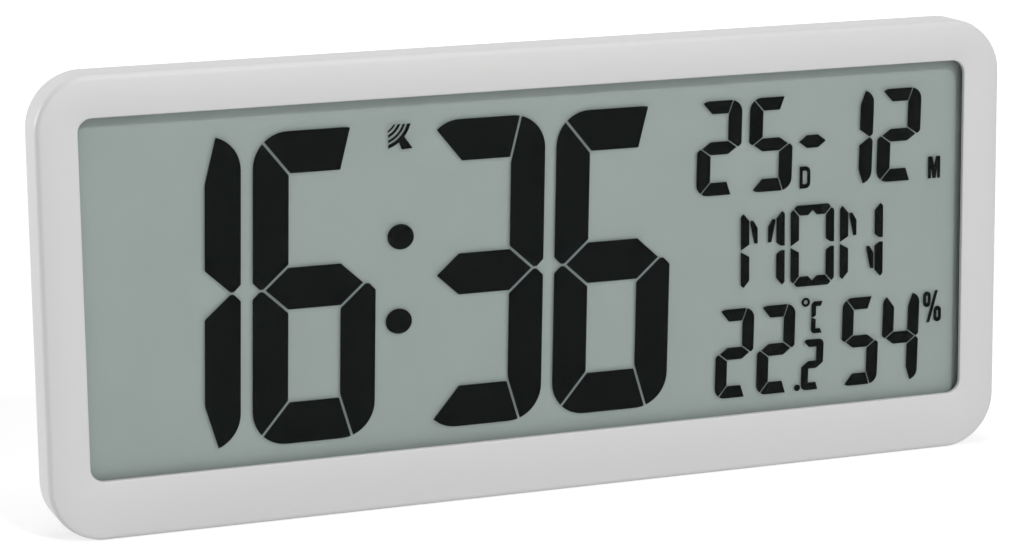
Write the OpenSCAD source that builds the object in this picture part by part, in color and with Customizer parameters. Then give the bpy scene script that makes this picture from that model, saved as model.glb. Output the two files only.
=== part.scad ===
// Radio-controlled digital clock with a large reflective display.
// X runs to the right as seen from the front, Z up, and the front faces -Y.
// The origin is at the middle of the base. Depths are measured back from the front plane.

/* [Housing] */
// Width of the frame
case_w = 336.5; // [326:0.5:350]
// Height of the frame
case_h = 150; // [146:0.5:160]
// Radius of the frame's outer corners
corner_r = 18.2; // [15:0.1:22]
// Depth of the frame's side wall
side_d = 15; // [14:0.1:17]
// Thickness of the frame's side wall
wall = 2.2; // [1.6:0.1:2.6]
// Radius between the frame's face and its side wall
edge_r = 2.2; // [0.8:0.1:2.6]
// How far the middle of the face stands out past its edges
crown = 0.6; // [0.3:0.1:0.8]

/* [Window] */
// Frame width left and right of the window
bezel_side = 13.6; // [13:0.1:15]
// Frame width above the window
bezel_top = 13.8; // [13:0.1:15]
// Frame width below the window
bezel_bottom = 19.4; // [18:0.1:21]
// Radius of the window's corners
window_r = 4.6; // [3:0.1:6]
// Thickness of the face, which is also the depth of the window's recess
face_t = 2.2; // [1.8:0.1:2.6]

/* [Display cell] */
// Thickness of the clear pane
lens_t = 1; // [0.8:0.1:1.5]
// Thickness of the front polariser
polariser_t = 0.2; // [0.2:0.05:0.3]
// Thickness of each sheet of glass
glass_t = 1.1; // [0.7:0.1:1.4]
// Gap between the sheets of glass, filled by the display marks
cell_gap = 0.2; // [0.1:0.05:0.3]
// Thickness of the reflective sheet
reflector_t = 0.3; // [0.2:0.05:0.5]
// How far the glass reaches past the window
glass_over = 2.5; // [2:0.1:2.6]
// Contact ledge of the front glass below the rear glass
ledge = 5; // [4:0.1:6]
// Width of the seal round the edge of the cell
seal_w = 1.5; // [1:0.1:2]

/* [Time digits] */
// Height of a time digit
time_h = 102.6; // [98:0.1:104]
// Width of a time digit
time_w = 41.5; // [39:0.1:42]
// Height of its level bars
time_bar_h = 13.7; // [11:0.1:15]
// Width of its upright bars
time_bar_w = 11.9; // [10:0.1:13]
// Radius of its corners
time_r = 11.5; // [9:0.1:12]
// Gap between its bars
time_gap = 0.85; // [0.5:0.05:1.2]
// From the left of the window to the hour tens
time_left = 9; // [7:0.1:10]
// From the bottom of the window to the digits
time_rise = 5.3; // [4:0.1:7]
// From the digits to the top of the window
time_drop = 8.9; // [6:0.1:10]
// From one digit to the next in a pair
time_pitch = 45.5; // [45:0.1:47]
// From the hour pair to the minute pair
time_pair = 103.8; // [103:0.1:105]
// Width of the colon's dots
colon_d = 9; // [6:0.1:9.5]
// Height of the colon's dots
colon_h = 8.4; // [6:0.1:9.5]
// From the hour units to the colon
colon_step = 49.1; // [48:0.1:51]
// Between the colon's dots
colon_pitch = 28; // [20:0.5:36]

/* [Date digits] */
// Height of a date digit
date_h = 32.1; // [29:0.1:33]
// Width of a date digit
date_w = 16.1; // [14:0.1:16.5]
// Height of its level bars
date_bar_h = 4.4; // [3.5:0.1:4.6]
// Width of its upright bars
date_bar_w = 4.9; // [4:0.1:5]
// Radius of its corners
date_r = 4.2; // [3:0.1:4.5]
// From the left of the window to the day tens
date_left = 211; // [209:0.1:213]
// From one digit to the next
date_pitch = 19; // [18.5:0.1:19.3]
// From the day tens to the month tens
date_month = 49.1; // [48:0.1:50]
// From the month tens to the month units
month_pitch = 18; // [17.5:0.1:18.8]
// Width of the dash
dash_w = 10; // [8:0.1:10.5]
// From the month's letter to the right of the window
date_end = 6.7; // [6:0.1:10]

/* [Weekday letters] */
// Height of a letter
day_h = 28.2; // [26:0.1:30]
// Width of a letter
day_w = 16.3; // [15:0.1:17]
// Height of its level bars
day_bar_h = 3.5; // [2.8:0.1:3.8]
// Width of its upright bars
day_bar_w = 3.1; // [2.6:0.1:3.3]
// From the left of the window to the first letter
day_left = 227.5; // [224:0.1:230]
// From one letter to the next
day_pitch = 18.55; // [18:0.05:20]
// From the top of the window to the letters
day_drop = 46.8; // [45:0.1:47]

/* [Climate digits] */
// Height of a temperature or humidity digit
climate_h = 30.9; // [28:0.1:31.5]
// Width of such a digit
climate_w = 13.9; // [12.5:0.1:14.2]
// Height of its level bars
climate_bar_h = 4.2; // [3.4:0.1:4.4]
// Width of its upright bars
climate_bar_w = 4.25; // [3.6:0.05:4.5]
// Radius of its corners
climate_r = 3.6; // [2.5:0.1:4]
// From one digit to the next
climate_pitch = 15.45; // [15:0.05:15.8]
// From the left of the window to the temperature
temp_left = 217.8; // [215:0.1:218]
// From the left of the window to the humidity
humid_left = 265.1; // [263.5:0.1:266.5]
// Height of the tenths digit
tenths_h = 17.7; // [15:0.1:18]
// Width of the tenths digit
tenths_w = 8.1; // [7:0.1:8.6]
// Bars of the tenths digit
tenths_bar = 2.6; // [1.9:0.1:2.6]
// Gap between the bars of all small figures
small_gap = 0.4; // [0.3:0.05:0.6]

/* [Display carrier] */
// Thickness of the carrier's plate
carrier_t = 1.3; // [1:0.1:1.8]
// Thickness of the carrier's rim round the glass
rim_t = 0.9; // [0.7:0.1:1]
// Diameter of the frame's carrier posts
post_d = 5.2; // [4.6:0.1:5.6]
// Diameter of the carrier's and board's screws
small_screw_d = 2; // [1.6:0.1:2.2]
// Diameter of the small screws' heads
small_head_d = 3.8; // [3:0.1:4]
// Height of the small screws' heads
small_head_t = 1.2; // [0.9:0.1:1.5]
// Height of the lower carrier posts
post_low_z = 44; // [40:1:52]
// From the top of the frame to the upper carrier posts
post_drop = 44.5; // [38:0.5:52]

/* [Rear cover] */
// Step from the frame's outline in to the rear case
step_in = 10; // [9.5:0.1:11]
// Thickness of the cover's walls
cover_t = 2; // [1.6:0.1:2.2]
// Radius of the rear case's back edge
back_r = 2.4; // [1.5:0.1:3]
// Radius of the rear case's corners
case_r = 8; // [6:0.1:10]
// Thickness of the flange that closes the frame
flange_t = 2; // [1.6:0.1:2.4]
// Diameter of the housing screws
screw_d = 2.6; // [2.2:0.1:2.8]
// Diameter of the housing screws' heads
head_d = 4.8; // [4.2:0.1:5]
// Height of the housing screws' heads
head_t = 1.6; // [1.2:0.1:2]
// Length of the housing screws' shanks
screw_l = 9; // [7:0.5:10]
// Diameter of the frame's screw bosses
boss_d = 6; // [5:0.1:6.2]
// From the middle of the case to the upper screws
top_screw_x = 72; // [60:1:85]
// Height of the lowest side screws
side_screw_low = 14; // [12:0.5:18]
// Height of the middle side screws
side_screw_mid = 75; // [68:0.5:84]
// From the top of the frame to the upper side screws
side_screw_drop = 18.5; // [17:0.5:26]

/* [Wall hanging] */
// Between the two keyholes
keyhole_pitch = 200; // [160:5:240]
// From the top of the frame to the middle of the keyholes' round entries
keyhole_drop = 33.5; // [30:0.5:40]
// Diameter of the round entry
keyhole_d = 9; // [7:0.5:10]
// Width of the hanging slot
slot_w = 4.4; // [4:0.1:5]
// Height of the hanging slot above the entry's middle
slot_l = 10; // [8:0.5:12]

/* [Battery bay] */
// Diameter of a cell
cell_d = 14.3; // [13.8:0.1:14.5]
// Length of a cell's body
cell_l = 49.3; // [47:0.1:50]
// Diameter of a cell's positive cap
cap_d = 5.4; // [4.5:0.1:6]
// Length of a cell's positive cap
cap_l = 1.2; // [0.8:0.1:1.6]
// Height of the bay's lower side
bay_z = 46; // [45:0.5:52]
// Thickness of the bay's walls
bay_t = 1.5; // [1.2:0.1:2]
// Thickness of the bay's floor
bay_floor_t = 1.2; // [1:0.1:1.6]
// Thickness of the contact metal
contact_t = 0.4; // [0.3:0.05:0.5]
// Length of a sprung contact
spring_l = 4.6; // [4:0.1:6]
// Length of the raised spot on a flat contact
spot_l = 0.6; // [0.4:0.1:1]
// Thickness of the door
door_t = 1.8; // [1.5:0.1:2.2]
// Diameter of the door's hinge barrel
door_barrel_d = 3.2; // [3:0.1:3.4]
// Diameter of the door's hinge pins
door_pin_d = 1.8; // [1.4:0.1:2]
// Length of the door's hinge pins
door_pin_l = 1.8; // [1.2:0.1:2.2]

/* [Stand legs] */
// From the side of the frame to the middle of a leg
leg_in = 63; // [55:1:73]
// Width of a leg
leg_w = 24; // [18:1:28]
// Thickness of a leg
leg_t = 3; // [2.6:0.1:3.4]
// Height of the legs' pivots
leg_pivot_z = 62; // [50:1:70]
// Height of a folded leg's foot
leg_foot_z = 1; // [0.6:0.1:2]
// Diameter of the legs' pivot pins
leg_pin_d = 2; // [1.6:0.1:2.2]
// Length of the legs' pivot pins
leg_pin_l = 1.4; // [1:0.1:1.6]
// Thickness of the leg pockets' walls
pocket_t = 1.8; // [1.7:0.1:2.4]

/* [Buttons] */
// Between neighbouring buttons
button_pitch = 24; // [18:1:26]
// Height of the row of buttons
button_z = 27; // [25:0.5:29]
// Diameter of a button's cap
button_d = 7; // [6:0.1:8]
// How far a button can be pressed
button_travel = 0.8; // [0.6:0.1:1]
// How far a button stands out of the button panel
button_proud = 0.9; // [0.6:0.1:1.1]
// Depth of the recessed button panel
panel_in = 1.2; // [1.1:0.1:1.6]
// Width of a button's collar beyond its cap
collar_w = 1; // [0.8:0.1:1.2]
// Thickness of a button's collar
collar_t = 1.4; // [1:0.1:1.8]
// Diameter of a button's stem
stem_d = 4; // [3:0.1:4.4]
// Side of a switch
switch_w = 6; // [5:0.1:6.4]
// Height of a switch
switch_t = 3.4; // [3:0.1:4]
// Diameter of a switch's plunger
plunger_d = 3.2; // [2.4:0.1:3.6]
// Height of a switch's plunger
plunger_l = 1; // [0.8:0.1:1.2]

/* [Boards and receiver] */
// Thickness of the main board
board_t = 1.6; // [1.2:0.1:1.8]
// Left end of the main board
board_left = -96; // [-104:1:-92]
// From the side of the frame to the right end of the main board
board_in = 18; // [16:0.5:22]
// Upper edge of the main board
board_top = 40; // [36:0.5:41]
// Gap between the carrier and the boards
board_gap = 1.6; // [1.2:0.1:2]
// Length of the connector strip
strip_l = 176; // [150:1:180]
// Thickness of the connector strip
strip_t = 2.2; // [1.6:0.1:2.6]
// Diameter of the sealed driver chip
chip_d = 14; // [10:0.5:15]
// Height of the sealed driver chip
chip_t = 2; // [1.5:0.1:2.6]
// Length of the quartz crystal
crystal_l = 6; // [5:0.1:8]
// Diameter of the quartz crystal
crystal_d = 2.1; // [1.6:0.1:3]
// Diameter of the antenna rod
rod_d = 8; // [6:0.1:9]
// Length of the antenna rod
rod_l = 68; // [60:1:80]
// From the top of the frame to the middle of the antenna rod
rod_drop = 29.5; // [26:0.5:34]
// Length of the antenna coil
coil_l = 32; // [24:1:34]
// Thickness of the antenna coil's winding
coil_t = 1.2; // [0.8:0.1:1.6]
// Width of the receiver board
receiver_w = 26; // [22:1:30]
// Height of the receiver board
receiver_h = 16; // [14:0.5:18]
// Thickness of the receiver board
receiver_t = 1; // [0.8:0.1:1.6]
// Middle of the receiver board across the case
receiver_x = 62; // [58:1:68]
// Diameter of a lead
lead_d = 1.3; // [1:0.1:1.6]

/* [Fits] */
// Gap round parts that drop into a seat
seat_gap = 0.3; // [0.2:0.05:0.4]
// Gap round a pivot pin, on the radius
pin_gap = 0.05; // [0.03:0.01:0.08]
// Gap round moving plates
swing_gap = 0.4; // [0.3:0.05:0.5]
// Gap round a button
button_gap = 0.2; // [0.15:0.05:0.3]
// Gap round a battery cell
cell_fit = 0.2; // [0.1:0.05:0.3]
// Gap between screw threads and the holes they pass
screw_gap = 0.2; // [0.15:0.05:0.3]

/* [Hidden] */
$fn = 48;
over = 1;

// Display stack, each value the depth at which a layer starts
lens_at = face_t;
polariser_at = lens_at + lens_t;
front_glass_at = polariser_at + polariser_t;
marks_at = front_glass_at + glass_t;
rear_glass_at = marks_at + cell_gap;
reflector_at = rear_glass_at + glass_t;
carrier_at = reflector_at + reflector_t;
carrier_back = carrier_at + carrier_t;

// Battery bay depths, which set the depth of the whole case
bay_air = 0.6;
bay_floor_at = carrier_back + bay_air;
cell_floor = bay_floor_at + bay_floor_t;
cell_at = cell_floor + cell_fit + cell_d / 2;
door_at = cell_at + cell_d / 2 + cell_fit;
case_d = door_at + door_t;
front_y = -case_d / 2;
plate_at = case_d - cover_t;
flange_at = side_d - flange_t;

// Window and glass outlines
win_x = case_w / 2 - bezel_side;
win_z0 = bezel_bottom;
win_z1 = case_h - bezel_top;
glass_x = win_x + glass_over;
glass_z0 = win_z0 - glass_over;
glass_z1 = win_z1 + glass_over;
ledge_z = glass_z0 - ledge;
glass_r = 0.8;
polariser_over = 1.5;

// Pieces that follow the frame's top and its sides
keyhole_z = case_h - keyhole_drop;
rod_z = case_h - rod_drop;
leg_x = case_w / 2 - leg_in;
board_right = case_w / 2 - board_in;

// Screw places
flange_in = wall + seat_gap;
screw_x = case_w / 2 - (step_in + flange_in) / 2;
top_screw_z = case_h - (step_in + flange_in) / 2;
HOUSING_SCREWS = concat(
    [for (s = [-1, 1], z = [side_screw_low, side_screw_mid, case_h - side_screw_drop]) [s * screw_x, z]],
    [for (s = [-1, 1]) [s * top_screw_x, top_screw_z]]
);
CARRIER_SCREWS = [for (s = [-1, 1], z = [post_low_z, case_h - post_drop]) [s * screw_x, z]];
ear_w = 1.2;

// Main board
board_at = carrier_back + board_gap;
board_back = board_at + board_t;
strip_z = glass_z0 - ledge / 2;
board_z0 = strip_z - strip_t;
board_screw_air = 1.4;
board_screw_z = strip_z + strip_t / 2 + small_head_d / 2 + board_screw_air;
board_screw_in = 9;
BOARD_SCREWS = [for (i = [0:3]) [
    board_left + board_screw_in + i * (board_right - board_left - 2 * board_screw_in) / 3, board_screw_z
]];
button_mid = 0;
BUTTON_X = [for (i = [0:3]) button_mid + (i - 1.5) * button_pitch];
chip_x = -70;
chip_z = 30;
chip_place = [chip_x, chip_z];
crystal_gap = 9;
crystal_lift = 3;
crystal_place = [chip_x + chip_d / 2 + crystal_gap, chip_z + crystal_lift];
sensor_in = 8;
sensor_z = 30;
sensor_place = [board_right - sensor_in, sensor_z];
sensor_w = 3;
sensor_t = 1.2;

// Antenna and receiver
rod_air = 2.4;
rod_at = carrier_back + coil_t + rod_d / 2 + rod_air;
cradle_w = 5;
cradle_gap = 1;
cradle_x = coil_l / 2 + cradle_w / 2 + cradle_gap;
cradle_t = 1.6;
receiver_z = rod_z;
receiver_at = carrier_back + board_gap;
peg_d = 1.8;
peg_in = 3;
PEGS = [for (s = [-1, 1])
    [receiver_x + s * (receiver_w / 2 - peg_in), receiver_z + receiver_h / 2 - peg_in]];

// Battery bay
contact_plus = contact_t + spot_l;
contact_minus = contact_t + spring_l;
cell_whole = cell_l + cap_l;
bay_l = contact_minus + cell_whole + contact_plus;
bay_h = 2 * (cell_d + 2 * cell_fit);
bay_x = bay_l / 2;
cell_z = [for (i = [0, 1]) bay_z + (i + 0.5) * (cell_d + 2 * cell_fit)];
hinge_lip = 0.6;
hinge_z = bay_z - door_barrel_d / 2 - seat_gap - hinge_lip;
hinge_at = case_d - door_barrel_d / 2;
hinge_wall_z = hinge_z - door_barrel_d / 2 - swing_gap;
bay_top = bay_z + bay_h + bay_t;
cheek_wall = 1.6;
cheek_w = door_pin_l + cheek_wall;
door_x = bay_x + bay_t;
tab_w = 3;
tab_out = 1.6;
tab_l = bay_t + tab_out;
tab_in = 3;
tab_at = cell_at - tab_in;
contact_w = 10;

// Stand legs
pivot_at = case_d - seat_gap - leg_t / 2;
pocket_floor = case_d - leg_t - 2 * seat_gap;
pocket_w = leg_w + 2 * swing_gap;
pocket_top = leg_pivot_z + leg_t / 2 + swing_gap;

// Buttons
panel_at = case_d - panel_in;
panel_inner = panel_at - cover_t;
panel_edge = 6;
collar_d = button_d + 2 * collar_w;
sleeve_t = 1.2;
sleeve_l = 5;
switch_at = board_back;
plunger_end = switch_at + switch_t + plunger_l;
press_gap = 0.05;
stem_end = plunger_end + button_travel + press_gap;

// The figures are drawn from the left of the window and from the foot of the time digits. Together they
// fill the window's width, or its height if that is less, and the room above and below is shared out.
label_h = 7.6;
label_w = 4.6;
label_t = 1.1;
label_gap = 3.8;
row_air = 2;
edge_air = 1;
month_left = date_left + date_month;
label_left = month_left + month_pitch + date_w + label_gap;
art_w = label_left + label_w + date_end;
figures_h = max(time_h, date_h + day_h + climate_h + 2 * row_air);
window_h = win_z1 - win_z0;
figure_scale = min(2 * win_x / art_w, window_h / (figures_h + 2 * edge_air));
art_x = -figure_scale * art_w / 2;
art_z = win_z0 + (window_h - figure_scale * figures_h) * time_rise / (time_rise + time_drop);
date_rise = figures_h - date_h;
day_rise = max(climate_h + row_air, figures_h - (day_drop - time_drop) - day_h);
tenths_gap = 1.4;
tenths_left = temp_left + 2 * climate_pitch + tenths_gap;

// The figures lean a little to the right
slant = 0.0295;
colon_slant = 0.0425;
TIME = [time_w, time_h, time_bar_h, time_bar_w, time_gap, time_r, 135, 76, 71];
DATE = [date_w, date_h, date_bar_h, date_bar_w, small_gap, date_r, 127, 78, 78];
CLIMATE = [climate_w, climate_h, climate_bar_h, climate_bar_w, small_gap, climate_r, 127, 78, 78];
NUMERALS = ["abcdef", "bc", "abged", "abgcd", "fgbc", "afgcd", "afgedc", "abc", "abcdefg", "abcdfg"];
FRAME_COLOUR = "#d4d5d5";
REAR_COLOUR = "#cfd0d0";
GLASS_COLOUR = [0.85, 0.92, 0.9, 0.35];
MARK_COLOUR = "#181a1a";
METAL_COLOUR = "#b9bcc0";
BOARD_COLOUR = "#2f6b45";

// A span on both sides of a middle, and one onward from its start
function about(mid, half) = [mid - half, mid + half];
function onward(start, run) = [start, start + run];

// Points along an arc
function arc(c, r, from, to, n = 8) =
    [for (i = [0:n]) let (a = from + (to - from) * i / n) c + r * [cos(a), sin(a)]];

// Rectangle with round corners, from its lower left to its upper right corner
function round_rect(x0, z0, x1, z1, r) = concat(
    arc([x1 - r, z0 + r], r, -90, 0), arc([x1 - r, z1 - r], r, 0, 90),
    arc([x0 + r, z1 - r], r, 90, 180), arc([x0 + r, z0 + r], r, 180, 270)
);

// Rectangle left inside a swept rim
function inset_rect(x1, z0, z1, r) = [[r - x1, z0 + r], [x1 - r, z0 + r], [x1 - r, z1 - r], [r - x1, z1 - r]];

// A line moved sideways, and where a line crosses a given x or y
function aside(p, q, s) = let (n = [p.y - q.y, q.x - p.x] / norm(q - p)) [p + s * n, q + s * n];
function at_x(l, x) = [x, l[0].y + (l[1].y - l[0].y) * (x - l[0].x) / (l[1].x - l[0].x)];
function at_y(l, y) = [l[0].x + (l[1].x - l[0].x) * (y - l[0].y) / (l[1].y - l[0].y), y];

// Bars of a seven-segment digit d = [width, height, bar height, bar width, gap, corner radius, then where the
// left, upper right and lower right joints lie on their corners in degrees]
function upper_left(d) = [d[5], d[1] - d[5]];
function upper_right(d) = [d[0] - d[5], d[1] - d[5]];
function on_arc(c, r, a) = c + r * [cos(a), sin(a)];
function left_joint(d, s) = aside(on_arc(upper_left(d), d[5], d[6]), [d[3], d[1] - d[2]], s);
function right_joint(d, s, turn) = aside(on_arc(upper_right(d), d[5], turn), [d[0] - d[3], d[1] - d[2]], s);
function half_gap_turn(d) = d[4] / 2 / d[5] * 180 / PI;
function bar_tip(d) = d[3] * 0.36;
function bar_toe(d) = d[3] * 0.19;

function bar_a(d, turn) = let (g = d[4] / 2, t = half_gap_turn(d), y = d[1] - d[2]) concat(
    arc(upper_left(d), d[5], d[6] - t, 90, 5), arc(upper_right(d), d[5], 90, turn + t, 3),
    [at_y(right_joint(d, -g, turn), y), at_y(left_joint(d, g), y)]
);
function bar_f(d) = let (g = d[4] / 2, t = half_gap_turn(d), m = d[1] / 2, k = bar_toe(d),
    l = aside([bar_tip(d), m], [d[3], m + d[2] / 2], d[4])) concat(
    arc(upper_left(d), d[5], d[6] + t, 180, 5),
    [[0, m + g + k], [k, m + g], at_y(l, m + g), at_x(l, d[3]), at_x(left_joint(d, -g), d[3])]
);
function bar_b(d, turn) = let (g = d[4] / 2, t = half_gap_turn(d), m = d[1] / 2, k = bar_toe(d), w = d[0],
    l = aside([w - d[3], m + d[2] / 2], [w - bar_tip(d), m], d[4])) concat(
    arc(upper_right(d), d[5], turn - t, 0),
    [[w, m + g + k], [w - k, m + g], at_y(l, m + g), at_x(l, w - d[3]),
        at_x(right_joint(d, g, turn), w - d[3])]
);
function bar_g(d) = let (w = d[0], m = d[1] / 2, b = d[2] / 2, t = bar_tip(d)) [
    [t, m], [d[3], m + b], [w - d[3], m + b], [w - t, m], [w - d[3], m - b], [d[3], m - b]
];
function mirrored(points, h) = [for (p = points) [p.x, h - p.y]];
function leaning(points) = [for (p = points) [p.x + slant * p.y, p.y]];
function bar(d, name) =
    name == "a" ? bar_a(d, d[7]) : name == "b" ? bar_b(d, d[7])
    : name == "f" ? bar_f(d) : name == "g" ? bar_g(d)
    : mirrored(name == "d" ? bar_a(d, d[8]) : name == "c" ? bar_b(d, d[8]) : bar_f(d), d[1]);

// One digit with its lower left corner at a place
module digit(place, d, value) {
    for (name = NUMERALS[value]) translate(place) polygon(leaning(bar(d, name)));
}

// Bars of a weekday letter's cell: a top bar with a notch, the two kinds of upright, a slanting bar
day_cut = 2.3;
day_notch = 1.65;
function letter_top() = let (g = small_gap / 2, w = day_w, h = day_h, b = day_bar_h, v = day_bar_w,
    c = day_cut / 2, n = day_notch) [
    [c + g / 2, h - c + g / 2], [day_cut, h], [w - day_cut, h], [w - c - g / 2, h - c + g / 2],
    [w - v - 1.5 * g, h - b], [w / 2 + n, h - b], [w / 2, h - b + n], [w / 2 - n, h - b], [v + 1.5 * g, h - b]
];
function letter_side(foot) = let (g = small_gap / 2, h = day_h, c = day_cut / 2) concat(
    [[0, h - day_cut], [c - g, h - c - g], [day_bar_w, h - day_bar_h - 1.5 * g]], foot
);
function letter_left() = letter_side([[day_bar_w, day_h / 2 + 2.1], [0, day_h / 2 + 0.3]]);
function letter_right() = across(letter_side(
    [[day_bar_w, day_h / 2 + 2], [1.4, day_h / 2 + 0.8], [0, day_h / 2 + 0.8]]));
slope_drop = 12.15;
slope_step = 6.6;
function letter_slant(x = 0, z = 0) = let (v = day_bar_w + small_gap, h = day_h - day_bar_h - small_gap,
    points = [[0, 0], [1.1, 0], [2.7, -2.6], [2.7, -7.9], [1.5, -7.9], [0, -1]])
    [for (p = points) [v + x + p.x, h - z + p.y]];
function across(points) = [for (p = points) [day_w - p.x, p.y]];
function down(points) = mirrored(points, day_h);

module letter(i, shapes) {
    for (s = shapes) translate([day_left + i * day_pitch, day_rise]) polygon(s);
}

// Extrudes an outline, drawn as seen from the front, from one depth to another
module slab(near, far) {
    translate([0, front_y + far, 0]) rotate([90, 0, 0]) linear_extrude(far - near) children();
}

// A round bar that runs front to back at a place on the front
module rod(place, d, near, far) {
    translate([place.x, front_y + far, place.y]) rotate([90, 0, 0]) cylinder(d = d, h = far - near);
}

// A box given by its limits across, in depth and in height
module block(x, depth, z) {
    translate([x[0], front_y + depth[0], z[0]]) cube([x[1] - x[0], depth[1] - depth[0], z[1] - z[0]]);
}

// A round bar that runs across the case
module cross_bar(x, depth, z, d) {
    translate([x[0], front_y + depth, z]) rotate([0, 90, 0]) cylinder(d = d, h = x[1] - x[0]);
}

// Sweeps an edge profile, points of inset and depth, round a rectangle with round corners
module sweep_rim(x1, z0, z1, r, profile) {
    edge = [for (p = profile) [max(0, r - p.x), p.y]];
    corners = [[x1 - r, z0 + r], [x1 - r, z1 - r], [r - x1, z1 - r], [r - x1, z0 + r]];
    runs = [z1 - z0 - 2 * r, 2 * (x1 - r), z1 - z0 - 2 * r, 2 * (x1 - r)];
    for (i = [0:3]) translate([corners[i].x, front_y, corners[i].y]) rotate([0, -90 * i, 0]) {
        rotate([-90, 0, 0]) rotate_extrude(angle = 90) polygon(edge);
        linear_extrude(runs[i]) polygon(edge);
    }
}

// Frame: a face that stands highest along the middle of its bars, a round edge and the side wall. The face
// leans where it meets the round edge, and lean is the sine of that angle.
face_run = bezel_side - edge_r;
lean = (sqrt(pow(face_run, 2) + 16 * crown * edge_r) - face_run) / (2 * edge_r);
face_start = edge_r * (1 - lean);
crown_half = (bezel_side - face_start) / 2;
face_steps = 12;
function crown_fall(u) = crown * pow((u - face_start - crown_half) / crown_half, 2);
FRAME_PROFILE = concat(
    [[corner_r, crown]],
    [for (i = [face_steps:-1:1]) let (u = face_start + 2 * crown_half * i / face_steps) [u, crown_fall(u)]],
    arc([edge_r, crown + edge_r * cos(asin(lean))], edge_r, 270 - asin(lean), 180, 6),
    [[0, side_d], [wall, side_d], [wall, face_t], [corner_r, face_t]]
);

module front_frame() color(FRAME_COLOUR) {
    boss_hole = screw_l - flange_t + 1;
    difference() {
        union() {
            sweep_rim(case_w / 2, 0, case_h, corner_r, FRAME_PROFILE);
            slab(crown, face_t) polygon(inset_rect(case_w / 2, 0, case_h, corner_r));
            for (p = HOUSING_SCREWS) rod(p, boss_d, face_t, flange_at);
            for (p = CARRIER_SCREWS) rod(p, post_d, face_t, carrier_at);
        }
        slab(-over, face_t + over) polygon(round_rect(-win_x, win_z0, win_x, win_z1, window_r));
        for (p = HOUSING_SCREWS) rod(p, screw_d, flange_at - boss_hole, flange_at + over);
        for (p = CARRIER_SCREWS) rod(p, small_screw_d, face_t, carrier_at + over);
    }
}

module glass_sheet(near, thick, low) {
    slab(near, near + thick) polygon(round_rect(-glass_x, low, glass_x, glass_z1, glass_r));
}

module view_sheet(near, thick) {
    x1 = win_x + polariser_over;
    slab(near, near + thick)
        polygon(round_rect(-x1, win_z0 - polariser_over, x1, win_z1 + polariser_over, glass_r));
}

module display_lens() color(GLASS_COLOUR) glass_sheet(lens_at, lens_t, ledge_z);
module lcd_front_polariser() color([0.72, 0.76, 0.74, 0.4]) view_sheet(polariser_at, polariser_t);
module lcd_front_glass() color(GLASS_COLOUR) glass_sheet(front_glass_at, glass_t, ledge_z);
module lcd_rear_glass() color(GLASS_COLOUR) glass_sheet(rear_glass_at, glass_t, glass_z0);
module lcd_reflector() color("#949e9b") view_sheet(reflector_at, reflector_t);

module lcd_edge_seal() color("#5f6663") difference() {
    glass_sheet(marks_at, cell_gap, glass_z0);
    slab(marks_at - over, rear_glass_at + over) polygon(round_rect(
        seal_w - glass_x, glass_z0 + seal_w, glass_x - seal_w, glass_z1 - seal_w, glass_r));
}

module marks() {
    color(MARK_COLOUR) slab(marks_at, rear_glass_at)
        translate([art_x, art_z]) scale([figure_scale, figure_scale]) children();
}

colon_x = time_left + time_pitch + colon_step;
module lcd_time_segments() marks() {
    places = [0, time_pitch, time_pair, time_pair + time_pitch];
    values = [1, 6, 3, 6];
    for (i = [0:3]) digit([time_left + places[i], 0], TIME, values[i]);
    for (s = [-1, 1]) {
        up = time_h / 2 + s * colon_pitch / 2;
        translate([colon_x + colon_slant * up, up]) scale([1, colon_h / colon_d]) circle(d = colon_d);
    }
}

module lcd_date_segments() marks() {
    places = [date_left, date_left + date_pitch, month_left, month_left + month_pitch];
    values = [2, 5, 1, 2];
    for (i = [0:3]) digit([places[i], date_rise], DATE, values[i]);
    h = date_bar_h;
    tip = date_bar_w * 0.6;
    translate([date_left + 2 * date_pitch, date_rise + (date_h - h) / 2]) polygon([
        [0, h / 2], [tip, h], [dash_w - tip, h], [dash_w, h / 2], [dash_w - tip, 0], [tip, 0]
    ]);
}

module lcd_weekday_segments() marks() {
    sides = [letter_left(), down(letter_left()), letter_right(), down(letter_right())];
    top = letter_top();
    slope = letter_slant();
    letter(0, concat(sides, [slope, across(slope)]));
    letter(1, concat(sides, [top, down(top)]));
    letter(2, concat(sides, [slope, letter_slant(slope_step, slope_drop)]));
}

module lcd_climate_segments() marks() {
    for (i = [0, 1]) digit([temp_left + i * climate_pitch, 0], CLIMATE, 2);
    for (i = [0, 1]) digit([humid_left + i * climate_pitch, 0], CLIMATE, 5 - i);
    translate([tenths_left, 0]) polygon(leaning(tenths_two()));
    dot_d = 2.25;
    translate([tenths_left - 1.4, dot_d / 2]) circle(d = dot_d);
}

// The small digit for tenths is drawn in one stroke
function tenths_two() = let (w = tenths_w, h = tenths_h, t = tenths_bar,
    m = h / 2, r = t * 0.7, k = t / 4) concat(
    [[t * 0.3, h - k], [t * 0.6, h]], arc([w - r, h - r], r, 90, 0, 5),
    [[w, m + k], [w - t, m - t / 2], [t, m - t / 2], [t, t], [w - t, t], [w - r, 0]],
    arc([r, r], r, 270, 180, 5),
    [[0, m - k], [t, m + t / 2], [w - t, m + t / 2], [w - t, h - t], [t, h - t]]
);

// Upright oval with straight sides, and one with a hole
module oval(x, z, w, h) {
    polygon(round_rect(x - w / 2, z - h / 2, x + w / 2, z + h / 2, w / 2 - 0.01));
}
module percent_ring(x, z) {
    difference() {
        oval(x, z, 2.85, 5.5);
        oval(x, z, 0.7, 2.6);
    }
}

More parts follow.
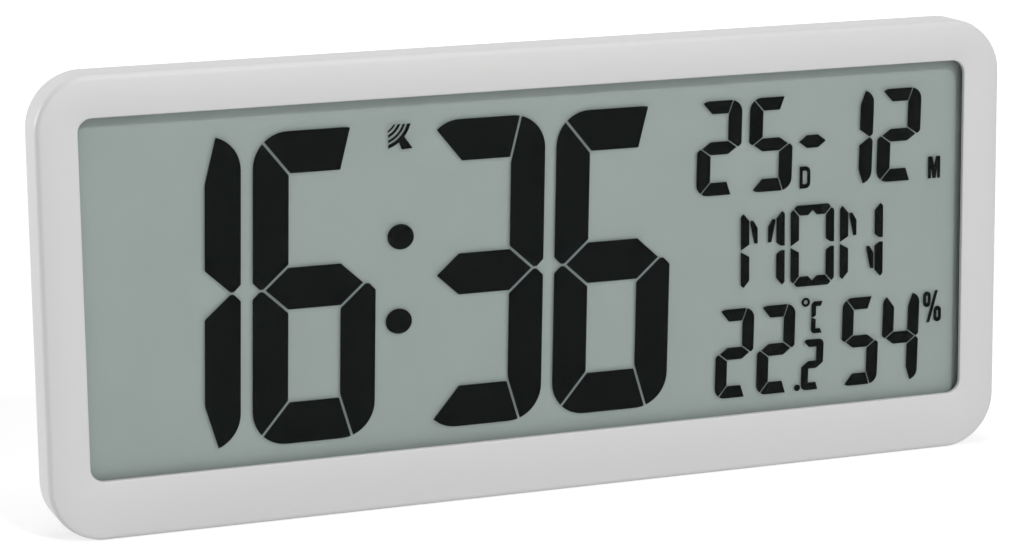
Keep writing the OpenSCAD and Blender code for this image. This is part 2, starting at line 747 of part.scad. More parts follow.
// Three waves that reach a dish on its foot, in a square with its upper left corner at a place
module reception_sign(place) {
    far = 3.2;
    middle = [-far, far];
    dish = [10.3, 11.4];
    translate(place) {
        for (w = [[6.05, 6.55], [7.3, 8.05], [8.9, 9.6]]) polygon(concat(
            arc(middle, w[1], -acos(far / w[1]), -asin(far / w[1])),
            arc(middle, w[0], -asin(far / w[0]), -acos(far / w[0]))
        ));
        polygon(concat(
            arc(middle, dish[1], -acos(far / dish[1]), -53), [[4.6, -8.3], [8.3, -8.1]],
            arc(middle, dish[1], -40, -asin(far / dish[1])),
            arc(middle, dish[0], -asin(far / dish[0]), -acos(far / dish[0]))
        ));
    }
}

module lcd_symbols() marks() {
    reception_sign([colon_x - 0.9, figures_h - 0.3]);
    // Letter for the day of the month
    bow = 1.9;
    hollow = 0.8;
    day_label_w = 3.95;
    bar = 1.48;
    translate([date_left + 2 * date_pitch + 0.3, date_rise]) difference() {
        polygon(concat([[0, 0]], arc([day_label_w - bow, bow], bow, -90, 0, 5),
            arc([day_label_w - bow, label_h - bow], bow, 0, 90, 5), [[0, label_h]]));
        inner = day_label_w - label_t - hollow;
        polygon(concat([[label_t, bar]], arc([inner, bar + hollow], hollow, -90, 0, 5),
            arc([inner, label_h - bar - hollow], hollow, 0, 90, 5), [[label_t, label_h - bar]]));
    }
    // Letter for the month
    translate([label_left, date_rise]) polygon([
        [0, 0], [0, label_h], [1.6, label_h], [label_w / 2, 4.3], [3, label_h], [label_w, label_h],
        [label_w, 0], [label_w - label_t, 0], [label_w - label_t, 4.1], [2.9, 0], [1.7, 0],
        [label_t, 4.1], [label_t, 0]
    ]);
    // Degree ring, unit letter in two halves and percent sign
    translate([tenths_left + 1.75, climate_h]) difference() {
        circle(d = 3.15);
        circle(d = 1.45);
    }
    unit_h = 11.15;
    unit_z = climate_h - unit_h;
    half = [[0, 0.9], [0.9, 0], [4.05, 0], [3.4, 1.7], [1.7, 1.7], [1.7, 4.9], [0.7, 5.45], [0, 5.45]];
    translate([tenths_left + 3.7, unit_z]) {
        polygon(leaning(half));
        polygon(leaning(mirrored(half, unit_h)));
    }
    percent_x = humid_left + 2 * climate_pitch + 0.75;
    percent_ring(percent_x + 1.45, unit_z + 8.2);
    percent_ring(percent_x + 5.55, unit_z + 2.8);
    translate([percent_x, unit_z]) polygon([[1.35, 0], [2.45, 0], [5.65, unit_h], [4.55, unit_h]]);
}

module display_carrier() color("#e3e3df") difference() {
    gap = seat_gap;
    ear_d = post_d + 2 * ear_w;
    union() {
        slab(face_t, carrier_back) polygon(round_rect(
            -glass_x - gap - rim_t, ledge_z - gap - rim_t, glass_x + gap + rim_t, glass_z1 + gap + rim_t,
            glass_r + gap + rim_t));
        for (p = CARRIER_SCREWS) {
            rod(p, ear_d, carrier_at, carrier_back);
            inner = sign(p.x) * (glass_x - over);
            block([min(inner, p.x), max(inner, p.x)], [carrier_at, carrier_back], about(p.y, ear_d / 2));
        }
        for (p = BOARD_SCREWS) rod(p, small_head_d + 1, carrier_back - over / 2, board_at);
        for (s = [-1, 1]) block(about(s * cradle_x, cradle_w / 2),
            [carrier_back - over / 2, rod_at + rod_d / 2 + cradle_t],
            about(rod_z, rod_d / 2 + cradle_t));
        for (p = PEGS) {
            rod(p, peg_d + 2, carrier_back - over / 2, receiver_at);
            rod(p, peg_d, carrier_back - over / 2, receiver_at + receiver_t + 0.8);
        }
        block(about(receiver_x, receiver_w / 2), [carrier_back - over / 2, receiver_at],
            onward(receiver_z - receiver_h / 2, 2));
    }
    slab(face_t - over, carrier_at) polygon(round_rect(
        -glass_x - gap, ledge_z - gap, glass_x + gap, glass_z1 + gap, glass_r + gap));
    block([-1, 1] * (strip_l / 2 + gap), [carrier_at - over, carrier_back + over],
        about(strip_z, strip_t / 2 + gap));
    for (p = CARRIER_SCREWS) rod(p, small_screw_d + 2 * screw_gap, carrier_at - over, carrier_back + over);
    for (p = BOARD_SCREWS) rod(p, small_screw_d, carrier_at - over, board_at + over);
    for (s = [-1, 1])
        cross_bar(about(s * cradle_x, cradle_w / 2 + over), rod_at, rod_z, rod_d + 2 * pin_gap);
}

module pan_screws(places, shank, head, head_h, seat, length) {
    drive = head * 0.5;
    slot = head * 0.14;
    for (p = places) difference() {
        union() {
            rod(p, shank, seat - length, seat + head_h / 2);
            rod(p, head, seat, seat + head_h);
        }
        for (a = [0, 90]) translate([p.x, front_y + seat + head_h, p.y]) rotate([0, a, 0])
            cube([drive, head_h, slot], center = true);
    }
}

carrier_screw_l = carrier_back - face_t - 0.6;
board_screw_l = board_back - carrier_at - 0.2;
module carrier_screws() color(METAL_COLOUR)
    pan_screws(CARRIER_SCREWS, small_screw_d, small_head_d, small_head_t, carrier_back, carrier_screw_l);

module board_screws() color(METAL_COLOUR)
    pan_screws(BOARD_SCREWS, small_screw_d, small_head_d, small_head_t, board_back, board_screw_l);

module lcd_connector() color("#3a3c44")
    block([-1, 1] * strip_l / 2, [marks_at, board_at], about(strip_z, strip_t / 2));

module main_board() color(BOARD_COLOUR) difference() {
    slab(board_at, board_back) polygon(round_rect(board_left, board_z0, board_right, board_top, 1));
    for (p = BOARD_SCREWS) rod(p, small_screw_d + 2 * screw_gap, board_at - over, board_back + over);
}

module driver_chip() color("#1c1d1f") {
    // A cap of a ball, as tall as the seal and as wide as its foot
    ball_r = (chip_d * chip_d / 4 + chip_t * chip_t) / (2 * chip_t);
    intersection() {
        translate([chip_place.x, front_y + board_back + chip_t - ball_r, chip_place.y])
            sphere(r = ball_r, $fn = 96);
        block(about(chip_place.x, chip_d), onward(board_back, chip_t + over), about(chip_place.y, chip_d));
    }
}

module quartz_crystal() color(METAL_COLOUR)
    cross_bar(onward(crystal_place.x, crystal_l), board_back + crystal_d / 2, crystal_place.y, crystal_d);

module tact_switches() color("#2a2b2d") for (x = BUTTON_X) {
    block(about(x, switch_w / 2), onward(switch_at, switch_t), about(button_z, switch_w / 2));
    rod([x, button_z], plunger_d, switch_at + switch_t, plunger_end);
}

module climate_sensor() color("#dfe0e0") difference() {
    block(about(sensor_place.x, sensor_w / 2), onward(board_back, sensor_t),
        about(sensor_place.y, sensor_w / 2));
    rod(sensor_place, sensor_w * 0.4, board_back + sensor_t / 2, board_back + sensor_t + over);
}

module receiver_board() color(BOARD_COLOUR) difference() {
    slab(receiver_at, receiver_at + receiver_t) polygon(round_rect(
        receiver_x - receiver_w / 2, receiver_z - receiver_h / 2, receiver_x + receiver_w / 2,
        receiver_z + receiver_h / 2, 0.6));
    for (p = PEGS) rod(p, peg_d + screw_gap, receiver_at - over, receiver_at + receiver_t + over);
}

module antenna_rod() color("#3b3d40") cross_bar([-1, 1] * rod_l / 2, rod_at, rod_z, rod_d);

module antenna_coil() color("#b06a3a") difference() {
    cross_bar([-1, 1] * coil_l / 2, rod_at, rod_z, rod_d + 2 * coil_t);
    cross_bar([-1, 1] * (coil_l / 2 + over), rod_at, rod_z, rod_d + 2 * pin_gap);
}

// Three cores side by side, from the receiver board down to the main board
module receiver_ribbon() color("#8f9296") {
    low = board_top - 4;
    high = receiver_z - receiver_h / 2 + 3;
    at = max(board_back, receiver_at + receiver_t) + lead_d / 2;
    for (i = [-1:1]) translate([receiver_x + i * lead_d * 0.95, front_y + at, low])
        cylinder(d = lead_d, h = high - low);
}

// Cells lie the opposite way to each other
module battery_cells() color("#c9a24a") for (i = [0, 1]) {
    way = i == 0 ? 1 : -1;
    start = way * (contact_minus - bay_x);
    body = [start, start + way * cell_l];
    cap = [body[1], body[1] + way * cap_l];
    cross_bar([min(body), max(body)], cell_at, cell_z[i], cell_d);
    cross_bar([min(cap), max(cap)], cell_at, cell_z[i], cap_d);
}

// Sprung contact: a plate on the bay's end wall and a bent leaf that presses on the cell
module spring_contact(side, z) {
    x = side * bay_x;
    tip = side * (bay_x - contact_t - spring_l);
    depth = about(cell_at, contact_w / 2);
    block([min(x, x - side * contact_t), max(x, x - side * contact_t)], depth, about(z, contact_w / 2));
    leaf = [
        [x - side * contact_t, -contact_w / 2], [tip + side * 0.8, -1.4], [tip, -1.2], [tip, 1.2],
        [tip + side * 2.6, contact_w / 2], [tip + side * 3, contact_w / 2 - 0.5], [tip + side * contact_t, 1],
        [tip + side * contact_t, -0.9], [x - side * contact_t, -contact_w / 2 + 1]
    ];
    translate([0, front_y + cell_at + contact_w / 4, z]) rotate([90, 0, 0])
        linear_extrude(contact_w / 2) polygon(leaf);
}

// Flat contact: a plate with a raised spot
module flat_contact(side, z) {
    x = side * bay_x;
    tip = x - side * contact_plus;
    block([min(x, x - side * contact_t), max(x, x - side * contact_t)],
        about(cell_at, contact_w / 2), about(z, contact_w / 2));
    cross_bar([min(x, tip), max(x, tip)], cell_at, z, cap_d * 0.7);
}

// Tongue through the bay's end wall, to which a lead is soldered
module solder_tab(side, z) {
    inner = side * (bay_x - contact_t);
    outer = side * (bay_x + tab_l);
    block([min(inner, outer), max(inner, outer)], about(tab_at, contact_t / 2), about(z, tab_w / 2));
}

// The lower cell points right and the upper one left, joined at the left end
module battery_bridge() color(METAL_COLOUR) {
    spring_contact(-1, cell_z[0]);
    flat_contact(-1, cell_z[1]);
    block([-bay_x, contact_t - bay_x], about(cell_at, contact_w / 4), [cell_z[0], cell_z[1]]);
}
module battery_terminal_plus() color(METAL_COLOUR) {
    flat_contact(1, cell_z[0]);
    solder_tab(1, cell_z[0]);
}
module battery_terminal_minus() color(METAL_COLOUR) {
    spring_contact(1, cell_z[1]);
    solder_tab(1, cell_z[1]);
}

// A lead along straight runs with round bends, through points given as across, depth and height
module lead(points) {
    for (i = [0:len(points) - 2]) {
        p = points[i];
        q = points[i + 1];
        v = q - p;
        translate([p.x, front_y + p.y, p.z]) rotate([0, acos(v.z / norm(v)), atan2(v.y, v.x)])
            cylinder(d = lead_d, h = norm(v));
        if (i > 0) translate([p.x, front_y + p.y, p.z]) sphere(d = lead_d);
    }
}
lead_x = bay_x + tab_l;
lead_foot_in = 3;
lead_foot_z = board_top - lead_foot_in;
lead_step = 3;
module battery_lead(z, out) {
    bend = lead_x + out;
    lead([
        [lead_x, tab_at, z], [bend, tab_at, z], [bend, tab_at, lead_foot_z], [bend, board_back, lead_foot_z]
    ]);
}
module lead_plus() color("#b3261e") battery_lead(cell_z[0], lead_step);
module lead_minus() color("#202124") battery_lead(cell_z[1], 2 * lead_step);

BACK_PROFILE = concat(
    [[case_r, side_d], [0, side_d]],
    arc([back_r, case_d - back_r], back_r, 180, 90, 6),
    [[case_r, case_d]]
);

module keyhole(x) {
    rod([x, keyhole_z], keyhole_d, plate_at - over, case_d + over);
    rod([x, keyhole_z + slot_l], slot_w, plate_at - over, case_d + over);
    block(about(x, slot_w / 2), [plate_at - over, case_d + over], onward(keyhole_z, slot_l));
}

vent_w = 1.6;
vent_h = 14;
vent_step = 4;
module rear_cover() color(REAR_COLOUR) {
    out_x = case_w / 2 - step_in;
    out_z = case_h - step_in;
    in_x = out_x - cover_t;
    in_z = out_z - cover_t;
    difference() {
        union() {
            // Flange and shell
            difference() {
                union() {
                    slab(flange_at, side_d) polygon(round_rect(flange_in - case_w / 2, flange_in,
                        case_w / 2 - flange_in, case_h - flange_in, corner_r - flange_in));
                    sweep_rim(out_x, 0, out_z, case_r, BACK_PROFILE);
                    slab(side_d, case_d) polygon(inset_rect(out_x, 0, out_z, case_r));
                }
                slab(flange_at - over, plate_at)
                    polygon(round_rect(-in_x, cover_t, in_x, in_z, case_r - cover_t));
                // The flange has no strip under the shell's lower wall
                block([-1, 1] * in_x, [flange_at - over, side_d], [0, cover_t + over]);
            }
            // Battery bay with its hinge wall and cheeks
            block([-door_x, door_x], [bay_floor_at, plate_at + cover_t / 2], [bay_z - bay_t, bay_top]);
            block([-1, 1] * (door_x + cheek_w), [hinge_at - door_barrel_d, plate_at + cover_t / 2],
                [hinge_wall_z - bay_t, bay_z]);
            // Leg pockets
            for (s = [-1, 1]) block(about(s * leg_x, pocket_w / 2 + pocket_t),
                [pocket_floor - pocket_t, plate_at + cover_t / 2], [cover_t / 2, pocket_top + pocket_t]);
            // Button panel and sleeves
            block([-1, 1] * (BUTTON_X[3] + panel_edge + cover_t), [panel_inner, plate_at + cover_t / 2],
                about(button_z, panel_edge + cover_t));
            for (x = BUTTON_X) rod([x, button_z], collar_d + 2 * button_gap + 2 * sleeve_t,
                panel_inner - sleeve_l, panel_inner + cover_t / 2);
        }
        // Bay, rebate for the door and groove for its barrel
        block([-bay_x, bay_x], [cell_floor, case_d + over], onward(bay_z, bay_h));
        block([-door_x, door_x], [door_at, case_d + over], [hinge_z, bay_top]);
        block([-door_x, door_x], [hinge_at - door_barrel_d / 2 - seat_gap, case_d + over],
            [hinge_wall_z, hinge_z + door_barrel_d / 2 + seat_gap]);
        cross_bar([-1, 1] * (door_x + door_pin_l + seat_gap), hinge_at, hinge_z, door_pin_d + 2 * pin_gap);
        for (z = cell_z) block([bay_x - over, door_x + over], about(tab_at, contact_t / 2 + cell_fit),
            about(z, tab_w / 2 + cell_fit));
        // Leg pockets and their pivot holes
        for (s = [-1, 1]) {
            block(about(s * leg_x, pocket_w / 2), [pocket_floor, case_d + over], [-over, pocket_top]);
            cross_bar(about(s * leg_x, leg_w / 2 + leg_pin_l + seat_gap), pivot_at, leg_pivot_z,
                leg_pin_d + 2 * pin_gap);
        }
        // Button panel, caps and collars
        slab(panel_at, case_d + over) polygon(round_rect(-BUTTON_X[3] - panel_edge, button_z - panel_edge,
            BUTTON_X[3] + panel_edge, button_z + panel_edge, panel_edge - 0.01));
        for (x = BUTTON_X) {
            rod([x, button_z], button_d + 2 * button_gap, panel_inner - over, panel_at + over);
            rod([x, button_z], collar_d + 2 * button_gap, panel_inner - sleeve_l - over, panel_inner);
        }
        for (s = [-1, 1]) keyhole(s * keyhole_pitch / 2);
        for (p = HOUSING_SCREWS) rod(p, screw_d + 2 * screw_gap, flange_at - over, side_d + over);
        // Air slots over the climate sensor
        for (i = [-2:2]) block(about(sensor_place.x + i * vent_step, vent_w / 2),
            [plate_at - over, case_d + over], about(sensor_place.y, vent_h / 2));
    }
}

module housing_screws() color(METAL_COLOUR)
    pan_screws(HOUSING_SCREWS, screw_d, head_d, head_t, side_d, screw_l);

module battery_door() color(REAR_COLOUR) difference() {
    half = door_x - seat_gap;
    grip = [-7, 7];
    union() {
        block([-half, half], [door_at, case_d], [hinge_z, bay_top - seat_gap]);
        cross_bar([-half, half], hinge_at, hinge_z, door_barrel_d);
        cross_bar([-1, 1] * (door_x + door_pin_l), hinge_at, hinge_z, door_pin_d);
    }
    // Finger notch and grip lines near the free edge
    block(grip, [case_d - door_t / 2, case_d + over], [bay_top - seat_gap - 2, bay_top + over]);
    for (i = [1:3]) block(grip, [case_d - 0.5, case_d + over], onward(bay_top - 3 - 2.2 * i, 1));
}

module stand_leg(side) color(REAR_COLOUR) translate([side * leg_x, 0, 0]) difference() {
    near = pivot_at - leg_t / 2;
    tread = 6;
    union() {
        block([-1, 1] * leg_w / 2, [near, near + leg_t], [leg_foot_z, leg_pivot_z]);
        cross_bar([-1, 1] * leg_w / 2, pivot_at, leg_pivot_z, leg_t);
        cross_bar([-1, 1] * (leg_w / 2 + leg_pin_l), pivot_at, leg_pivot_z, leg_pin_d);
    }
    // Shallow panel and tread lines on the outer face
    slab(near + leg_t - 0.6, near + leg_t + over) polygon(round_rect(
        3 - leg_w / 2, leg_foot_z + 2 * tread, leg_w / 2 - 3, leg_pivot_z - tread, 2));
    for (i = [1:3]) block([-1, 1] * (leg_w / 2 - 3), [near + leg_t - 0.5, near + leg_t + over],
        onward(leg_foot_z + 2.4 * i, 1));
}
module stand_leg_left() stand_leg(-1);
module stand_leg_right() stand_leg(1);

module button(i) color("#9da1a4") {
    place = [BUTTON_X[i], button_z];
    rod(place, button_d, panel_inner - collar_t / 2, panel_at + button_proud);
    rod(place, collar_d, panel_inner - collar_t, panel_inner);
    rod(place, stem_d, stem_end, panel_inner - collar_t / 2);
}
module button_mode() button(0);
module button_set() button(1);
module button_up() button(2);
module button_down() button(3);

front_frame();
display_lens();
lcd_front_polariser();
lcd_front_glass();
lcd_time_segments();
lcd_date_segments();
lcd_weekday_segments();
lcd_climate_segments();
lcd_symbols();
lcd_edge_seal();
lcd_rear_glass();
lcd_reflector();
display_carrier();
carrier_screws();
lcd_connector();
main_board();
board_screws();
driver_chip();
quartz_crystal();
tact_switches();
climate_sensor();
receiver_board();
antenna_rod();
antenna_coil();
receiver_ribbon();
battery_cells();
battery_bridge();
battery_terminal_plus();
battery_terminal_minus();
lead_plus();
lead_minus();
rear_cover();
housing_screws();
battery_door();
stand_leg_left();
stand_leg_right();
button_mode();
button_set();
button_up();
button_down();
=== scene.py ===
"""Looks of a large radio-controlled display clock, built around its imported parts."""

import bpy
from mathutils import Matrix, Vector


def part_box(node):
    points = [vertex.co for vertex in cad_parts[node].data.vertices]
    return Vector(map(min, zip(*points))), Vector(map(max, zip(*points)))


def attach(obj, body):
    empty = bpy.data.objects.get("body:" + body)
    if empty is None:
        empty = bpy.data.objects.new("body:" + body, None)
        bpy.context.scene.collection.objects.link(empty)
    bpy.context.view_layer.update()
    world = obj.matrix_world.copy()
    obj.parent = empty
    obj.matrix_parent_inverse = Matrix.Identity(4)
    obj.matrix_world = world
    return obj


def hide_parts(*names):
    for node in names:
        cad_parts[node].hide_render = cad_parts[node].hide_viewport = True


bl_info = {
    "name": "Display clock",
    "version": (1, 0, 0),
    "blender": (4, 5, 0),
    "location": "View3D > Sidebar > Clock",
    "description": "Dresses the packed parts of a display clock and sets up its studio",
    "category": "Object",
}

import math

import bmesh
import bpy
from bpy.props import FloatProperty, FloatVectorProperty, IntProperty, PointerProperty
from bpy.types import Operator, Panel, PropertyGroup
from mathutils import Euler, Matrix, Vector

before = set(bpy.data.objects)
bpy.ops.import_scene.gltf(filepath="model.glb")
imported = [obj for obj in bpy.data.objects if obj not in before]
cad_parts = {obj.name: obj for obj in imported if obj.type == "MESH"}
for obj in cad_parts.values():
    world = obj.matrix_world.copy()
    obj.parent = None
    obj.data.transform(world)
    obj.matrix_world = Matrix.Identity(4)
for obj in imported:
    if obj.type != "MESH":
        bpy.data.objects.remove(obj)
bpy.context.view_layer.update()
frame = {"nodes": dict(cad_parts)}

MM = 0.001
CLOCK = "clock"

# Distances under which points merge, in meshes made here and in packed ones
MERGE = 1e-7
MERGE_PACKED = 2e-6

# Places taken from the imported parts
FRAME_LOW, FRAME_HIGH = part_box("front_frame")
VIEW_LOW, VIEW_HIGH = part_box("lcd_reflector")
SCREW_LOW, SCREW_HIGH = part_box("housing_screws")
FRONT_Y = FRAME_LOW.y
SIDE_Y = FRAME_HIGH.y
HALF_W = FRAME_HIGH.x
HEIGHT = FRAME_HIGH.z
FACE_BACK_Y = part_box("display_lens")[0].y
VIEW_MARGIN = 1.5 * MM
WINDOW_X = VIEW_HIGH.x - VIEW_MARGIN
WINDOW_Z = (VIEW_LOW.z + VIEW_MARGIN, VIEW_HIGH.z - VIEW_MARGIN)
BUTTONS = ("mode", "set", "up", "down")
CELL_LENGTH = 50.5 * MM

# Turn that points a piece made along Z to the back of the clock
BACKWARDS = (-math.pi / 2.0, 0.0, 0.0)

# Place and width of each light, whose power is the studio's property of that name
LIGHTS = (("key", (0.4, -2.4, 1.9), 0.3), ("fill", (0.12, -1.5, 0.35), 1.5), ("roof", (0.0, -0.1, 1.3), 0.8),
          ("left", (-1.9, 1.3, 0.5), 0.8), ("right", (1.9, 1.3, 0.5), 0.8))
LIGHT_AIM = (0.0, 0.0, 0.08)


def colour_prop(name, description, default):
    """A colour that a user may change."""
    return FloatVectorProperty(name=name, description=description, default=default, subtype="COLOR",
                               size=3, min=0.0, max=1.0)


def length_prop(name, description, default):
    """A length that a user may change."""
    return FloatProperty(name=name, description=description, default=default, min=0.0,
                         subtype="DISTANCE", unit="LENGTH", precision=5)


def power_prop(name, description, default):
    """A light's power that a user may change."""
    return FloatProperty(name=name, description=description, default=default, min=0.0, unit="POWER")


class ClockSizes(PropertyGroup):
    """Sizes of the rounded forms and of the small turned pieces"""

    corner_radius: length_prop("Corner radius", "Outer corners of the frame", 18.2 * MM)
    wall: length_prop("Wall", "Thickness of the frame's side wall", 2.2 * MM)
    edge_radius: length_prop("Edge radius", "Between the frame's face and its side wall", 2.2 * MM)
    crown: length_prop("Crown", "How far the middle of the face stands out past its edges", 0.6 * MM)
    window_radius: length_prop("Window radius", "Corners of the window", 4.6 * MM)
    lip_radius: length_prop("Lip radius", "Round edge of the window", 0.5 * MM)
    rim_round: length_prop("Rim round", "Broken edges of the frame's back rim", 0.3 * MM)
    shell_edge: length_prop("Shell edge", "Broken edges of the rear shell", 0.4 * MM)
    sheet_corner: length_prop("Sheet corner", "Corners of the display's glass sheets", 0.8 * MM)
    sheet_edge: length_prop("Sheet edge", "Ground edges of the display's sheets", 0.12 * MM)
    sheet_gap: length_prop("Sheet gap", "Air between the display's sheets", 0.03 * MM)
    flap_edge: length_prop("Flap edge", "Broken edges of the door and the legs", 0.35 * MM)
    boss_diameter: length_prop("Boss diameter", "Screw bosses inside the frame", 6.0 * MM)
    post_diameter: length_prop("Post diameter", "Carrier posts inside the frame", 5.2 * MM)
    screw_head: length_prop("Screw head", "Diameter of a housing screw's head", 4.8 * MM)
    screw_head_height: length_prop("Screw head height", "Height of a housing screw's head", 1.6 * MM)
    screw_shank: length_prop("Screw shank", "Diameter of a housing screw's shank", 2.6 * MM)
    button_cap: length_prop("Button cap", "Diameter of a button's cap", 7.0 * MM)
    button_collar: length_prop("Button collar", "Diameter of a button's collar", 9.0 * MM)
    button_stem: length_prop("Button stem", "Diameter of a button's stem", 4.0 * MM)
    button_round: length_prop("Button round", "Round edge of a button's cap", 0.6 * MM)
    cell_diameter: length_prop("Cell diameter", "Diameter of a battery cell", 14.3 * MM)
    cell_cap: length_prop("Cell cap", "Diameter of a cell's positive cap", 5.4 * MM)
    cell_cap_length: length_prop("Cell cap length", "Height of a cell's positive cap", 1.2 * MM)
    corner_steps: IntProperty(name="Corner steps", description="Facets of each frame corner",
                              default=24, min=6, max=48)


class ClockColours(PropertyGroup):
    """Colours of the clock's finishes"""

    frame: colour_prop("Frame", "Satin plastic of the front frame", (0.622, 0.622, 0.62))
    rear: colour_prop("Rear shell", "Textured plastic of the rear shell", (0.62, 0.625, 0.625))
    button: colour_prop("Buttons", "Satin plastic of the buttons", (0.34, 0.355, 0.37))
    ground: colour_prop("Display ground", "Reflective sheet behind the display", (0.366, 0.426, 0.407))
    mark: colour_prop("Display marks", "Dark figures of the display", (0.0103, 0.0121, 0.0117))
    jacket: colour_prop("Cell jacket", "Main colour of a cell's jacket", (0.03, 0.032, 0.036))
    band: colour_prop("Cell band", "Band at a cell's positive end", (0.62, 0.30, 0.10))


class ClockStudio(PropertyGroup):
    """Light of the studio"""

    ambient: FloatProperty(name="Ambient", description="Strength of the light from all round",
                           default=0.08, min=0.0, max=2.0)
    key_watts: power_prop("Key", "Power of the light from above the camera", 31.0)
    fill_watts: power_prop("Fill", "Power of the wide light from the front", 9.8)
    roof_watts: power_prop("Roof", "Power of the light above the clock", 7.2)
    left_watts: power_prop("Left", "Power of the light behind the clock's left side", 30.0)
    right_watts: power_prop("Right", "Power of the light behind the clock's right side", 12.0)


# Mesh building

def new_object(name, mesh):
    """An object at the origin that shows a mesh."""
    piece = bpy.data.objects.new(name, mesh)
    bpy.context.scene.collection.objects.link(piece)
    return piece


def shade(mesh, angle=32.0):
    """Smooth shading with sharp edges past an angle."""
    mesh.shade_smooth()
    mesh.set_sharp_from_angle(angle=math.radians(angle))


def mesh_from(name, points, faces):
    """A mesh of points and faces with its normals turned outwards."""
    mesh = bpy.data.meshes.new(name)
    mesh.from_pydata(points, [], faces)
    work = bmesh.new()
    work.from_mesh(mesh)
    bmesh.ops.remove_doubles(work, verts=work.verts, dist=MERGE)
    bmesh.ops.recalc_face_normals(work, faces=work.faces)
    work.to_mesh(mesh)
    work.free()
    return mesh


def corner_turns(steps):
    """Outward direction of each point of a rounded outline."""
    return [math.radians(90.0 * (quarter - 1 + step / steps))
            for quarter in range(4) for step in range(steps + 1)]


def rounded_outline(x1, z0, z1, radius, steps):
    """Points round an upright rectangle with round corners."""
    corners = ((x1 - radius, z0 + radius), (x1 - radius, z1 - radius),
               (radius - x1, z1 - radius), (radius - x1, z0 + radius))
    points = []
    for index, turn in enumerate(corner_turns(steps)):
        x, z = corners[index // (steps + 1)]
        points.append((x + radius * math.cos(turn), z + radius * math.sin(turn)))
    return points


def quads_between(rows, count, closed=False):
    """Quads between rows of equally many points, the last row joined to the first if closed."""
    faces = []
    for row in range(rows if closed else rows - 1):
        following = (row + 1) % rows
        for column in range(count):
            beside = (column + 1) % count
            faces.append((row * count + column, row * count + beside,
                          following * count + beside, following * count + column))
    return faces


def ring_mesh(name, loops):
    """A closed ring through loops of equally many points."""
    points = [point for loop in loops for point in loop]
    return mesh_from(name, points, quads_between(len(loops), len(loops[0]), closed=True))


def sheet_mesh(name, low, high, radius, edge):
    """A flat upright sheet with round corners and ground edges."""
    steps = 8
    loops = []
    for inset, y in ((edge, low.y), (0.0, low.y + edge), (0.0, high.y - edge), (edge, high.y)):
        outline = rounded_outline(high.x - inset, low.z + inset, high.z - inset, radius - inset, steps)
        loops.append([(x, y, z) for x, z in outline])
    count = len(loops[0])
    points = [point for loop in loops for point in loop]
    ends = [tuple(range(count)), tuple(range(len(points) - count, len(points)))]
    return mesh_from(name, points, ends + quads_between(len(loops), count))


def turned_mesh(name, profile, steps=64):
    """A solid turned about Z from points of radius and height; its first and last points lie on the axis."""
    points = []
    for radius, height in profile:
        for step in range(steps):
            turn = 2.0 * math.pi * step / steps
            points.append((radius * math.cos(turn), radius * math.sin(turn), height))
    return mesh_from(name, points, quads_between(len(profile), steps))


def quarter_arc(centre, radius, start, end, steps):
    """Points on an arc, with angles in degrees."""
    turns = [math.radians(start + (end - start) * step / steps) for step in range(steps + 1)]
    return [(centre[0] + radius * math.cos(turn), centre[1] + radius * math.sin(turn)) for turn in turns]


def apply_modifiers(piece):
    """Makes a piece's modifiers part of its mesh."""
    depsgraph = bpy.context.evaluated_depsgraph_get()
    mesh = bpy.data.meshes.new_from_object(piece.evaluated_get(depsgraph))
    old = piece.data
    mesh.name = piece.name
    piece.modifiers.clear()
    piece.data = mesh
    if old.users == 0:
        bpy.data.meshes.remove(old)


def softened_copy(node, name, width):
    """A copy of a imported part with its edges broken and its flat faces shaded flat."""
    mesh = frame["nodes"][node].data.copy()
    mesh.name = name
    mesh.materials.clear()
    work = bmesh.new()
    work.from_mesh(mesh)
    bmesh.ops.remove_doubles(work, verts=work.verts, dist=MERGE_PACKED)
    work.to_mesh(mesh)
    work.free()
    piece = new_object(name, mesh)
    edges = piece.modifiers.new("broken_edges", "BEVEL")
    edges.width = width
    edges.segments = 3
    edges.limit_method = "ANGLE"
    edges.angle_limit = math.radians(35.0)
    edges.miter_outer = "MITER_ARC"
    apply_modifiers(piece)
    shade(piece.data)
    normals = piece.modifiers.new("straight_normals", "WEIGHTED_NORMAL")
    normals.keep_sharp = True
    apply_modifiers(piece)
    return piece


def hand_over(piece, body, material, slot, *nodes):
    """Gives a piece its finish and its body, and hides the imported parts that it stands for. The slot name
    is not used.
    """
    if material is not None:
        piece.data.materials.clear()
        piece.data.materials.append(material)
    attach(piece, body)
    if nodes:
        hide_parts(*nodes)


def dress(material, *nodes):
    """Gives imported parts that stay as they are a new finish."""
    for node in nodes:
        part = frame["nodes"][node]
        part.data.materials.clear()
        part.data.materials.append(material)


# Geometry Nodes

